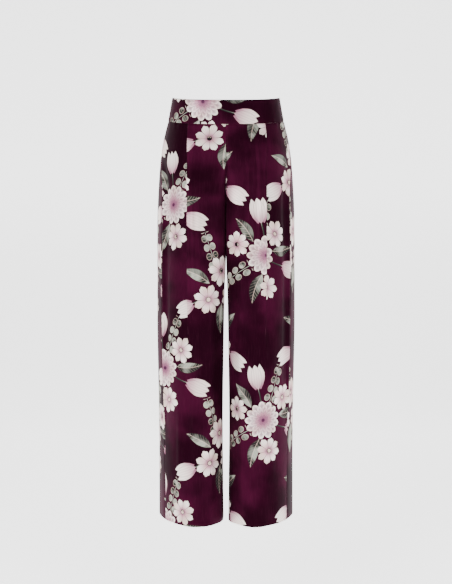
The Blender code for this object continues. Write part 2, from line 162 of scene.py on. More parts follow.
SEAMS = LevelTable(
    ("front_gap", "seam_gap", "back_gap", "front_seam_y", "front_corner_y", "back_corner_y",
     "back_seam_y", "side_seam_y"),
    (
        (0.0284, 0.00015, 0.00015, 0.00015, -0.0865, -0.0865, 0.0820, 0.0820, 0.000),
        (-0.0284, 0.00015, 0.00015, 0.00015, -0.0925, -0.0925, 0.0880, 0.0880, 0.000),
        (-0.0760, 0.00015, 0.00015, 0.00015, -0.1020, -0.1020, 0.1020, 0.1020, -0.008),
        (-0.1370, 0.00015, 0.00015, 0.00015, -0.1040, -0.1040, 0.1170, 0.1170, -0.034),
        (-0.1970, 0.00015, 0.00015, 0.00015, -0.0940, -0.0940, 0.1160, 0.1160, -0.053),
        (-0.2260, 0.00020, 0.00020, 0.00020, -0.0750, -0.0920, 0.1110, 0.1020, -0.058),
        (-0.2510, 0.00020, 0.00020, 0.00025, -0.0480, -0.0900, 0.1060, 0.0800, -0.060),
        (-0.2710, 0.00022, 0.00022, 0.00028, -0.0180, -0.0880, 0.1010, 0.0500, -0.060),
        (-0.2860, 0.00025, 0.00025, 0.00030, 0.0120, -0.0870, 0.0970, 0.0120, -0.060),
        (-0.3260, 0.00035, 0.00035, 0.00045, 0.0120, -0.0850, 0.0920, 0.0120, -0.060),
        (-0.3760, 0.00080, 0.00100, 0.00140, 0.0120, -0.0820, 0.0870, 0.0120, -0.060),
        (-0.4490, 0.00350, 0.00500, 0.00700, 0.0120, -0.0780, 0.0820, 0.0120, -0.060),
        (-0.5500, 0.00530, 0.00700, 0.00900, 0.0120, -0.0730, 0.0760, 0.0120, -0.060),
        (-0.7800, 0.00800, 0.01000, 0.01200, 0.0120, -0.0650, 0.0660, 0.0120, -0.060),
        (-0.9380, 0.00650, 0.00850, 0.01100, 0.0120, -0.0600, 0.0610, 0.0120, -0.060),
        (-1.0190, 0.00560, 0.00800, 0.01050, 0.0120, -0.0600, 0.0600, 0.0120, -0.060),
    ),
)
POWERS = LevelTable(
    ("front_inner", "front_outer", "back_inner", "back_outer"),
    (
        (0.0284, 2.3, 2.20, 2.2, 2.25),
        (-0.0760, 2.3, 2.05, 2.2, 2.10),
        (-0.1970, 2.3, 1.80, 2.2, 1.95),
        (-0.4460, 1.8, 1.78, 1.9, 1.95),
        (-1.0190, 1.5, 1.75, 1.7, 1.90),
    ),
)
# A pleat's rise at its fold edge, and the cloth folded away under it
PLEAT = LevelTable(
    ("rise", "intake"),
    (
        (-0.0284, 0.0012, 0.060),
        (-0.0590, 0.0026, 0.058),
        (-0.1470, 0.0040, 0.052),
        (-0.2960, 0.0050, 0.036),
        (-0.4460, 0.0036, 0.014),
        (-0.5880, 0.0000, 0.000),
    ),
)


def smooth(t: np.ndarray | float) -> np.ndarray:
    """Eases from 0 to 1 as t goes from 0 to 1."""
    held = np.clip(t, 0.0, 1.0)
    return held * held * (3.0 - 2.0 * held)


def waist_rise(z: np.ndarray | float, y: np.ndarray | float) -> np.ndarray:
    """How far the waist's line lifts at a depth: it dips to the front and is level at the back."""
    forward = (y - np.sqrt(y * y + WAIST_TILT_BLEND**2)) / 2
    return WAIST_TILT * forward * waist_share(z)


def waist_share(z: np.ndarray | float) -> np.ndarray:
    """1 at the waistband, easing to 0 where the waist's own shape ends."""
    return smooth((z - WAIST_FADES_Z) / (BAND_SEAM_Z - WAIST_FADES_Z))


class Outline:
    """Half the garment's level outline at one height, from the inner seam to the side seam.

    Args:
        face: front or back.
        z: height in metres.
    """

    STEPS = 220

    def __init__(self, face: Face, z: float) -> None:
        """Lays out the points and the lengths along them."""
        self.face, self.z = face, z
        word = face.value
        side = np.array([SECTIONS.at(z, "half_width"), SECTIONS.at(z, "side_y")])
        inner = np.array([[SEAMS.at(z, "seam_gap"), SEAMS.at(z, word + "_seam_y")]])
        corner = np.array([SEAMS.at(z, word + "_gap"), SEAMS.at(z, word + "_corner_y")])
        crown = self._crown(face)
        run = self._quarter(corner, crown, POWERS.at(z, word + "_inner"), False)
        beyond = self._quarter(crown, side, POWERS.at(z, word + "_outer"), True)[1:]
        seam_y = SEAMS.at(z, "side_seam_y")
        if face is Face.FRONT:
            cut = np.nonzero(beyond[:, 1] >= seam_y)[0]
            beyond = beyond[: cut[0] + 1] if len(cut) else beyond
        else:
            front = self._quarter(self._crown(Face.FRONT), side, POWERS.at(z, "front_outer"), True)
            past = front[:-1][::-1]
            beyond = np.vstack([beyond, past[past[:, 1] >= seam_y]])
        points = np.vstack([inner, run, beyond])
        points[:, 1] *= 1 - WAIST_CAMBER * waist_share(z) * (points[:, 0] / side[0]) ** 2
        steps = np.hypot(*np.diff(points, axis=0).T)
        lengths = np.concatenate([[0.0], np.cumsum(steps)])
        self.crown = float(lengths[len(run)])
        self.corner = max(float(lengths[1]), 0.34 * self.crown)
        self.side = float(lengths[-1])
        kept = np.concatenate([[True], steps > 1e-6])
        self.points, self.lengths = points[kept], lengths[kept]

    def _crown(self, face: Face) -> np.ndarray:
        """The outermost point of a face, on the leg's crease line."""
        return np.array([SECTIONS.at(self.z, face.value + "_x"), SECTIONS.at(self.z, face.value + "_y")])

    def _quarter(self, start: np.ndarray, end: np.ndarray, power: float, along_x: bool) -> np.ndarray:
        """A superellipse quarter from start to end, which leaves start along x or along y."""
        angle = np.linspace(0.0, math.pi / 2, self.STEPS + 1)
        fast = np.sin(angle) ** (2 / power)
        slow = 1 - np.abs(np.cos(angle)) ** (2 / power)
        shares = np.stack([fast, slow] if along_x else [slow, fast], axis=1)
        return start + (end - start) * shares

    def at(self, lengths: np.ndarray) -> np.ndarray:
        """Points at lengths along the outline."""
        held = np.clip(lengths, 0.0, self.lengths[-1])
        return np.stack([np.interp(held, self.lengths, self.points[:, i]) for i in (0, 1)], axis=1)

    def outward(self, lengths: np.ndarray) -> np.ndarray:
        """Level directions out of the garment at lengths along the outline."""
        ahead = self.at(lengths + SEAM_STRIP / 2) - self.at(lengths - SEAM_STRIP / 2)
        ahead /= np.linalg.norm(ahead, axis=1, keepdims=True)
        turn = 1.0 if self.face is Face.FRONT else -1.0
        return np.stack([ahead[:, 1], -ahead[:, 0]], axis=1) * turn

    def length_at_x(self, x: float) -> float:
        """The length beyond the crown at which the outline is x out from the centre."""
        past = self.lengths >= self.crown
        return float(np.interp(x, self.points[past, 0], self.lengths[past]))


# ---- Folds ----------------------------------------------------------------------------------
class Origin(Enum):
    """Where a fold's place along the cloth is measured from."""

    CROWN = "crease line, towards the side seam"
    SIDE = "side seam, inwards"
    INNER = "inner seam, outwards"


@dataclass(frozen=True)
class Fold:
    """A soft ridge, or a trough where height is negative.

    Args:
        face: front or back.
        origin: what its place is measured from.
        top, bottom: its place at its upper and lower ends.
        z_top, z_bottom: its upper and lower ends.
        reach: half its width.
        height: how far it stands out.
        wander: how far it strays to either side.
        side: the one leg that has it, or None for both.
        ease: the height over which it starts and ends.
    """

    face: Face
    origin: Origin
    top: float
    bottom: float
    z_top: float
    z_bottom: float
    reach: float
    height: float
    wander: float = 0.0
    side: Side | None = None
    ease: float = 0.10

    def relief(self, outline: Outline, lengths: np.ndarray) -> np.ndarray:
        """Outward height of the fold at lengths along an outline."""
        z = outline.z
        inside = min(self.z_top - z, z - self.z_bottom) / self.ease
        if inside <= 0:
            return np.zeros_like(lengths)
        share = (z - self.z_top) / (self.z_bottom - self.z_top)
        place = self.top + (self.bottom - self.top) * share
        place += self.wander * math.sin(z * 17.0 + self.reach * 400.0)
        start = {
            Origin.CROWN: lengths - outline.crown,
            Origin.SIDE: outline.side - lengths,
            Origin.INNER: lengths,
        }[self.origin]
        away = np.clip((np.abs(start - place) - self.flat) / (self.reach - self.flat), 0.0, 1.0)
        return self.height * float(smooth(inside)) * np.cos(away * math.pi / 2) ** 2

    @property
    def flat(self) -> float:
        """Half width of the fold's flat top. Only a fold on the side seam has one."""
        on_seam = self.origin is Origin.SIDE and self.top == 0.0
        return SEAM_STRIP if on_seam else 0.0


FRONT, BACK, LEFT, RIGHT = Face.FRONT, Face.BACK, Side.LEFT, Side.RIGHT
CROWN, SIDE, INNER = Origin.CROWN, Origin.SIDE, Origin.INNER
FOLDS = (
    # the long folds that the frame's panels have too
    Fold(FRONT, SIDE, 0.000, 0.000, -0.088, -0.800, 0.012, 0.0035),
    Fold(BACK, SIDE, 0.000, 0.000, -0.088, -0.800, 0.012, 0.0035),
    Fold(FRONT, SIDE, 0.022, 0.020, -0.098, -0.700, 0.014, -0.0030, 0.001),
    Fold(FRONT, CROWN, -0.034, -0.030, -0.326, -0.990, 0.022, 0.0035, 0.002),
    Fold(FRONT, CROWN, 0.018, 0.022, -0.517, -1.000, 0.020, -0.0035, 0.002),
    Fold(BACK, CROWN, 0.030, 0.040, -0.177, -0.990, 0.030, 0.0050, 0.003),
    Fold(BACK, CROWN, -0.020, -0.015, -0.256, -1.000, 0.026, -0.0045, 0.003),
    Fold(BACK, CROWN, 0.085, 0.090, -0.236, -0.907, 0.026, -0.0040, 0.002),
    # a soft valley on the left front, between two ridges
    Fold(FRONT, CROWN, -0.001, 0.004, -0.022, -0.400, 0.009, -0.0022, 0.001, LEFT, 0.05),
    Fold(FRONT, CROWN, -0.017, -0.014, -0.030, -0.330, 0.010, 0.0012, 0.001, LEFT, 0.05),
    Fold(FRONT, CROWN, 0.013, 0.017, -0.036, -0.290, 0.009, 0.0010, 0.001, LEFT, 0.05),
    Fold(FRONT, CROWN, 0.006, 0.002, -0.190, -0.540, 0.011, 0.0018, 0.002, RIGHT),
    Fold(FRONT, CROWN, 0.004, 0.012, -0.430, -0.760, 0.012, -0.0012, 0.002, RIGHT),
    # the pleats run out in soft ridges
    Fold(FRONT, CROWN, 0.024, 0.021, -0.470, -0.800, 0.014, 0.0018, 0.002, LEFT),
    Fold(FRONT, CROWN, 0.021, 0.015, -0.500, -0.870, 0.015, 0.0020, 0.002, RIGHT),
    # from the crotch down the inner legs
    Fold(FRONT, INNER, 0.012, 0.060, -0.215, -0.330, 0.009, -0.0013, 0.0, LEFT, 0.04),
    Fold(FRONT, INNER, 0.016, 0.072, -0.225, -0.350, 0.010, -0.0012, 0.0, RIGHT, 0.04),
    Fold(FRONT, INNER, 0.050, 0.064, -0.300, -0.560, 0.014, -0.0016, 0.001, LEFT),
    Fold(FRONT, INNER, 0.048, 0.058, -0.340, -0.690, 0.013, -0.0015, 0.002, RIGHT),
    Fold(BACK, INNER, 0.020, 0.085, -0.235, -0.360, 0.011, -0.0020, 0.0, LEFT, 0.04),
    Fold(BACK, INNER, 0.034, 0.100, -0.222, -0.330, 0.010, -0.0018, 0.0, RIGHT, 0.04),
    # short creases at the knees and above the hems, uneven from leg to leg
    Fold(FRONT, CROWN, -0.052, -0.046, -0.620, -0.860, 0.011, -0.0014, 0.002, RIGHT),
    Fold(FRONT, CROWN, 0.048, 0.053, -0.560, -0.930, 0.013, 0.0016, 0.002, LEFT),
    Fold(FRONT, CROWN, 0.056, 0.050, -0.690, -0.985, 0.012, 0.0015, 0.002, RIGHT),
    Fold(BACK, CROWN, 0.058, 0.062, -0.330, -0.700, 0.014, -0.0019, 0.002, RIGHT),
    Fold(BACK, CROWN, 0.060, 0.054, -0.470, -0.880, 0.015, -0.0022, 0.002, LEFT),
    Fold(BACK, CROWN, 0.004, 0.010, -0.300, -0.640, 0.012, 0.0016, 0.002, LEFT),
    Fold(BACK, CROWN, 0.008, 0.003, -0.420, -0.900, 0.013, 0.0019, 0.002, RIGHT),
    Fold(BACK, CROWN, 0.110, 0.118, -0.400, -0.800, 0.012, 0.0013, 0.001, LEFT),
    # darts' fullness below the waistband at the back
    Fold(BACK, CROWN, 0.000, 0.006, -0.020, -0.130, 0.012, 0.0010, 0.0, None, 0.03),
    Fold(BACK, CROWN, 0.046, 0.050, -0.020, -0.110, 0.010, -0.0009, 0.0, None, 0.03),
)


# ---- Shells ---------------------------------------------------------------------------------
@dataclass
class Shell:
    """A closed thin shell on a grid of points, with a rolled edge and its two UV maps.

    Args:
        name: the piece's name.
        outer: rows x columns x 3 points of the outer face.
        wall: rows x columns thicknesses.
        cloth: rows x columns x 2 places on the flat cloth, in metres.
        facing: a direction that points out of the garment, for each point.
        roll: how far the top and bottom edges round out, as a share of the wall.
    """

    name: str
    outer: np.ndarray
    wall: np.ndarray
    cloth: np.ndarray
    facing: np.ndarray
    roll: tuple[float, float] = (0.35, 0.35)

    EDGE = 0.012

    def build(self, finishes: Sequence[bpy.types.Material]) -> bpy.types.Object:
        """Makes the mesh object.

        Args:
            finishes: the material of the outer face and edges, and that of the inner face.

        Returns:
            The new object, at the origin.
        """
        rows, columns = self.wall.shape
        across = np.gradient(self.outer, axis=1)
        down = np.gradient(self.outer, axis=0)
        normal = np.cross(across, down)
        normal /= np.linalg.norm(normal, axis=2, keepdims=True)
        flip = float((normal * self.facing).sum()) < 0
        if flip:
            normal = -normal
        inner = self.outer - normal * self.wall[..., None]
        ring = self._ring(rows, columns)
        flat_outer, flat_inner = self.outer.reshape(-1, 3), inner.reshape(-1, 3)
        middle = self._middle(ring, rows, flat_outer, flat_inner, down.reshape(-1, 3))
        count = rows * columns
        vertices = np.vstack([flat_outer, flat_inner, middle])
        quads = self._quads(rows, columns)
        outer_faces = quads[:, ::-1] if flip else quads
        inner_faces = (quads if flip else quads[:, ::-1]) + count
        after = np.roll(ring, -1)
        index = np.arange(len(ring))
        first = 2 * count
        upper = np.stack([after, ring, first + index, first + np.roll(index, -1)], axis=1)
        lower = np.stack([first + np.roll(index, -1), first + index, ring + count, after + count], axis=1)
        if flip:
            upper, lower = upper[:, ::-1], lower[:, ::-1]
        faces = np.vstack([outer_faces, inner_faces, upper, lower])
        mesh = bpy.data.meshes.new(self.name)
        mesh.from_pydata(vertices.tolist(), [], faces.tolist())
        cloth = self.cloth.reshape(-1, 2)
        places = np.vstack([cloth, cloth, cloth[ring]])
        self._write_map(mesh, "Print", places[faces].reshape(-1, 2))
        bake = self._bake_map(rows, columns, ring, (outer_faces, inner_faces), flip)
        self._write_map(mesh, "OFBake", bake)
        for finish in finishes:
            mesh.materials.append(finish)
        slots = np.zeros(len(faces), np.int32)
        slots[len(quads): 2 * len(quads)] = 1
        mesh.polygons.foreach_set("material_index", slots)
        mesh.polygons.foreach_set("use_smooth", np.ones(len(faces), bool))
        mesh.set_sharp_from_angle(angle=math.radians(58))
        item = bpy.data.objects.new(self.name, mesh)
        bpy.context.scene.collection.objects.link(item)
        return item

    @staticmethod
    def _quads(rows: int, columns: int) -> np.ndarray:
        """Corner indices of a grid's faces."""
        r, c = np.meshgrid(np.arange(rows - 1), np.arange(columns - 1), indexing="ij")
        a = (r * columns + c).ravel()
        return np.stack([a, a + 1, a + 1 + columns, a + columns], axis=1)

    @staticmethod
    def _ring(rows: int, columns: int) -> np.ndarray:
        """Indices round the grid's edge: along the top, down, back along the bottom and up."""
        top = np.arange(columns)
        right = np.arange(1, rows) * columns + columns - 1
        bottom = (rows - 1) * columns + np.arange(columns - 2, -1, -1)
        left = np.arange(rows - 2, 0, -1) * columns
        return np.concatenate([top, right, bottom, left])

    def _middle(self, ring: np.ndarray, rows: int, outer: np.ndarray, inner: np.ndarray,
                down: np.ndarray) -> np.ndarray:
        """Points of the rolled edge, halfway through the wall."""
        columns = len(outer) // rows
        row = ring // columns
        away = down[ring] / np.linalg.norm(down[ring], axis=1, keepdims=True)
        share = np.where(row == 0, -self.roll[0], np.where(row == rows - 1, self.roll[1], 0.0))
        wall = self.wall.reshape(-1)[ring]
        return (outer[ring] + inner[ring]) / 2 + away * (share * wall)[:, None]

    def _bake_map(self, rows: int, columns: int, ring: np.ndarray,
                  islands: tuple[np.ndarray, np.ndarray], flip: bool) -> np.ndarray:
        """The baking map's corners: outer face at the left, inner at the right, edges in margins."""
        edge = self.EDGE
        r, c = np.divmod(np.arange(rows * columns), columns)
        along = c / (columns - 1)
        up = 1 - r / (rows - 1)
        height = edge + up * (1 - 2 * edge)
        width = 0.5 - 2 * edge
        outer = np.stack([edge + along * width, height], axis=1)
        inner = np.stack([0.5 + edge + along * width, height], axis=1)
        flat = np.vstack([outer, inner])
        corners = [flat[face].reshape(-1, 2) for face in islands]
        after = np.roll(ring, -1)
        for half in (0, 1):
            place = []
            for a, b in zip(ring, after):
                near, far = 0.2 + 0.3 * half, 0.5 + 0.3 * half
                pair = [self._edge_place(outer, rows, columns, a, b, point, depth)
                        for point, depth in ((b, near), (a, near), (a, far), (b, far))]
                place += pair[::-1] if flip else pair
            corners.append(np.array(place))
        return np.vstack(corners)

    def _edge_place(self, outer: np.ndarray, rows: int, columns: int, a: int, b: int, point: int,
                    depth: float) -> tuple[float, float]:
        """Where a corner of an edge's face goes in the margins.

        Args:
            outer: the outer face's places.
            rows, columns: the grid's size.
            a, b: the two grid points that the face joins.
            point: the grid point of this corner.
            depth: how far into the margin, from 0 to 1.

        Returns:
            The corner's place on the map.
        """
        u, v = outer[point]
        reach = self.EDGE * depth
        if a < columns and b < columns:
            return float(u), 1 - self.EDGE + reach
        if a >= (rows - 1) * columns and b >= (rows - 1) * columns:
            return float(u), self.EDGE - reach
        if a % columns == 0 and b % columns == 0:
            return self.EDGE - reach, float(v)
        return 0.5 - self.EDGE + reach, float(v)

    @staticmethod
    def _write_map(mesh: bpy.types.Mesh, name: str, corners: np.ndarray) -> None:
        """Stores a UV map given at every face corner."""
        layer = mesh.uv_layers.new(name=name)
        layer.uv.foreach_set("vector", np.ascontiguousarray(corners, np.float32).ravel())


# ---- Shader graphs --------------------------------------------------------------------------
Number = float | int


@dataclass(frozen=True)
class Value:
    """A number socket in a graph. Arithmetic on it adds Math nodes.

    Args:
        graph: the graph that it belongs to.
        socket: the output socket that it wraps.
    """

    graph: "Graph"
    socket: bpy.types.NodeSocket

    def _math(self, operation: str, *others: Any) -> "Value":
        """A Math node on this value and others."""
        return self.graph.math(operation, self, *others)

    def __add__(self, other: Any) -> "Value":
        """Sum."""
        return self._math("ADD", other)

    def __radd__(self, other: Number) -> "Value":
        """Sum with a number at the left."""
        return self._math("ADD", other)

    def __sub__(self, other: Any) -> "Value":
        """Difference."""
        return self._math("SUBTRACT", other)

    def __rsub__(self, other: Number) -> "Value":
        """Difference from a number at the left."""
        return self.graph.math("SUBTRACT", other, self)

    def __mul__(self, other: Any) -> "Value":
        """Product."""
        return self._math("MULTIPLY", other)

    def __rmul__(self, other: Number) -> "Value":
        """Product with a number at the left."""
        return self._math("MULTIPLY", other)

    def __truediv__(self, other: Any) -> "Value":
        """Quotient."""
        return self._math("DIVIDE", other)

    def __rtruediv__(self, other: Number) -> "Value":
        """Quotient of a number at the left."""
        return self.graph.math("DIVIDE", other, self)

    def __lt__(self, other: Any) -> "Value":
        """1 where this is less."""
        return self._math("LESS_THAN", other)

    def __gt__(self, other: Any) -> "Value":
        """1 where this is more."""
        return self._math("GREATER_THAN", other)

    def __abs__(self) -> "Value":
        """Absolute value."""
        return self._math("ABSOLUTE")

    def fract(self) -> "Value":
        """Fractional part."""
        return self._math("FRACT")

    def floor(self) -> "Value":
        """Whole part."""
        return self._math("FLOOR")

    def sin(self) -> "Value":
        """Sine."""
        return self._math("SINE")

    def cos(self) -> "Value":
        """Cosine."""
        return self._math("COSINE")

    def ramp(self, start: Any, end: Any) -> "Value":
        """Eases from 0 at start to 1 at end."""
        return self.graph.ramp(self, start, end)


class Graph:
    """Builds the nodes of one material or node group.

    Args:
        tree: the node tree to fill, which is emptied first.
    """

    def __init__(self, tree: bpy.types.NodeTree) -> None:
        """Empties the tree."""
        self.tree = tree
        tree.nodes.clear()

    def node(self, kind: str, sockets: dict[str | int, Any] | None = None,
             **settings: Any) -> bpy.types.Node:
        """Adds a node.

        Args:
            kind: the node's type.
            sockets: values or links of its inputs, by name or number.
            settings: its own properties, set first.

        Returns:
            The node.
        """
        node = self.tree.nodes.new(kind)
        for name, setting in settings.items():
            setattr(node, name, setting)
        for key, content in (sockets or {}).items():
            if isinstance(content, Value):
                content = content.socket
            if isinstance(content, bpy.types.NodeSocket):
                self.tree.links.new(content, node.inputs[key])
            else:
                node.inputs[key].default_value = content
        return node

    def value(self, socket: bpy.types.NodeSocket) -> Value:
        """Wraps a number socket."""
        return Value(self, socket)

    def math(self, operation: str, *operands: Any) -> Value:
        """A Math node on values and numbers."""
        node = self.node("ShaderNodeMath", dict(enumerate(operands)), operation=operation)
        return self.value(node.outputs[0])

    def ramp(self, value: Value, start: Any, end: Any) -> Value:
        """Eases from 0 to 1 as a value goes from start to end."""
        node = self.node("ShaderNodeMapRange", {0: value, 1: start, 2: end, 3: 0.0, 4: 1.0},
                         interpolation_type="SMOOTHSTEP")
        return self.value(node.outputs[0])

    def vector(self, operation: str, *operands: Any, out: int = 0) -> bpy.types.NodeSocket:
        """A Vector Math node's output on vectors."""
        node = self.node("ShaderNodeVectorMath", dict(enumerate(operands)), operation=operation)
        return node.outputs[out]

    def mix(self, share: Any, first: Any, second: Any) -> bpy.types.NodeSocket:
        """A colour between two colours."""
        pair = [(*colour, 1.0) if isinstance(colour, tuple) else colour for colour in (first, second)]
        node = self.node("ShaderNodeMix", {0: share, 6: pair[0], 7: pair[1]}, data_type="RGBA")
        return node.outputs[2]

    def choose(self, share: Any, first: Any, second: Any) -> bpy.types.NodeSocket:
        """A vector between two vectors."""
        node = self.node("ShaderNodeMix", {0: share, 4: first, 5: second}, data_type="VECTOR")
        return node.outputs[1]

    def split(self, vector: bpy.types.NodeSocket) -> tuple[Value, Value, Value]:
        """A vector's three parts."""
        node = self.node("ShaderNodeSeparateXYZ", {0: vector})
        return self.value(node.outputs[0]), self.value(node.outputs[1]), self.value(node.outputs[2])

    def noise(self, vector: bpy.types.NodeSocket, scale: float, detail: float = 2.0,
              rough: float = 0.5) -> Value:
        """Smooth noise about 0.5."""
        node = self.node("ShaderNodeTexNoise",
                         {"Vector": vector, "Scale": scale, "Detail": detail, "Roughness": rough},
                         noise_dimensions="2D")
        return self.value(node.outputs[0])


# ---- The print ------------------------------------------------------------------------------
Colour = tuple[float, float, float]


def linear(code: str) -> Colour:
    """A colour as light from its six-digit screen code."""
    parts = [int(code[i: i + 2], 16) / 255 for i in (0, 2, 4)]
    light = [p / 12.92 if p <= 0.04045 else ((p + 0.055) / 1.055) ** 2.4 for p in parts]
    return light[0], light[1], light[2]


class Motif(Enum):
    """The print's motifs, from the lowest layer to the topmost."""

    SPRIG = "sprig"
    LEAF = "leaf"
    TULIP = "tulip"
    DAHLIA = "dahlia"
    COSMOS = "cosmos"


@dataclass(frozen=True)
class Stamp:
    """One motif, placed from the middle of its spray or on the fabric's repeat.

    Args:
        motif: what it shows.
        u, v: its centre, in metres.
        size: its radius or half length, in metres.
        turn: its turn, in degrees.
        tone: 0 to 1, which varies its colour and petals.
    """

    motif: Motif
    u: float
    v: float
    size: float
    turn: float
    tone: float


def round_stamp(motif: Motif, bearing: float, away: float, size: float, tone: float) -> Stamp:
    """A stamp that points outwards from the spray's middle.

    Args:
        motif: what it shows.
        bearing: its direction from the middle, in degrees.
        away: its distance from the middle, in metres.
        size: its radius or half length, in metres.
        tone: 0 to 1, which varies its colour and petals.

    Returns:
        The stamp.
    """
    angle = math.radians(bearing)
    return Stamp(motif, away * math.cos(angle), away * math.sin(angle), size, bearing, tone)


@dataclass(frozen=True)
class Spray:
    """A group of motifs, placed on the repeat.

    Args:
        stamps: the motifs, placed from the spray's own middle.
        u, v: where that middle lies.
        turn: the spray's turn, in degrees.
    """

    stamps: tuple[Stamp, ...]
    u: float
    v: float
    turn: float

    def placed(self, motif: Motif) -> list[Stamp]:
        """Its stamps of one motif, on the repeat."""
        angle = math.radians(self.turn)
        cos, sin = math.cos(angle), math.sin(angle)
        return [
            Stamp(motif, self.u + s.u * cos - s.v * sin, self.v + s.u * sin + s.v * cos, s.size,
                  s.turn + self.turn, s.tone)
            for s in self.stamps if s.motif is motif
        ]


@dataclass(frozen=True)
class Spot:
    """The motif that covers a point of the cloth, and the point's place on it.

    Args:
        x, y: the point from the motif's centre, in its own turn and in its sizes.
        radius: its distance from the centre.
        angle: its angle about the centre.
        tone: the motif's tone.
    """

    x: Value
    y: Value
    radius: Value
    angle: Value
    tone: Value


@dataclass(frozen=True)
class Wash:
    """The uneven wash of the painted motifs.

    Args:
        fine: small ragged noise, which roughens the edges.
        broad: wide patches, which tint the petals.
    """

    fine: Value
    broad: Value


SPRIG, LEAF, TULIP, DAHLIA, COSMOS = Motif.SPRIG, Motif.LEAF, Motif.TULIP, Motif.DAHLIA, Motif.COSMOS

# Two sprays, each a ring of motifs round its middle flower
DAHLIA_SPRAY = (
    Stamp(DAHLIA, 0.0, 0.0, 0.048, 0, 0.3),
    round_stamp(COSMOS, 40, 0.079, 0.034, 0.2), round_stamp(COSMOS, 160, 0.076, 0.032, 0.7),
    round_stamp(COSMOS, 282, 0.078, 0.034, 0.5),
    round_stamp(TULIP, 100, 0.082, 0.058, 0.4), round_stamp(TULIP, 340, 0.084, 0.058, 0.8),
    round_stamp(LEAF, 6, 0.082, 0.036, 0.1), round_stamp(LEAF, 128, 0.080, 0.036, 0.6),
    round_stamp(LEAF, 252, 0.082, 0.038, 0.9),
    round_stamp(SPRIG, 212, 0.096, 0.052, 0.3), round_stamp(SPRIG, 70, 0.090, 0.050, 0.6),
)
COSMOS_SPRAY = (
    Stamp(COSMOS, 0.0, 0.042, 0.039, 15, 0.9), Stamp(COSMOS, -0.038, -0.026, 0.037, 50, 0.1),
    Stamp(COSMOS, 0.039, -0.026, 0.036, 80, 0.6),
    round_stamp(TULIP, 205, 0.086, 0.056, 0.2), round_stamp(TULIP, 330, 0.086, 0.056, 0.5),
    round_stamp(LEAF, 30, 0.072, 0.038, 0.3), round_stamp(LEAF, 152, 0.072, 0.036, 0.8),
    round_stamp(LEAF, 268, 0.074, 0.038, 0.5),
    round_stamp(SPRIG, 108, 0.094, 0.048, 0.8), round_stamp(SPRIG, 290, 0.090, 0.046, 0.1),
)


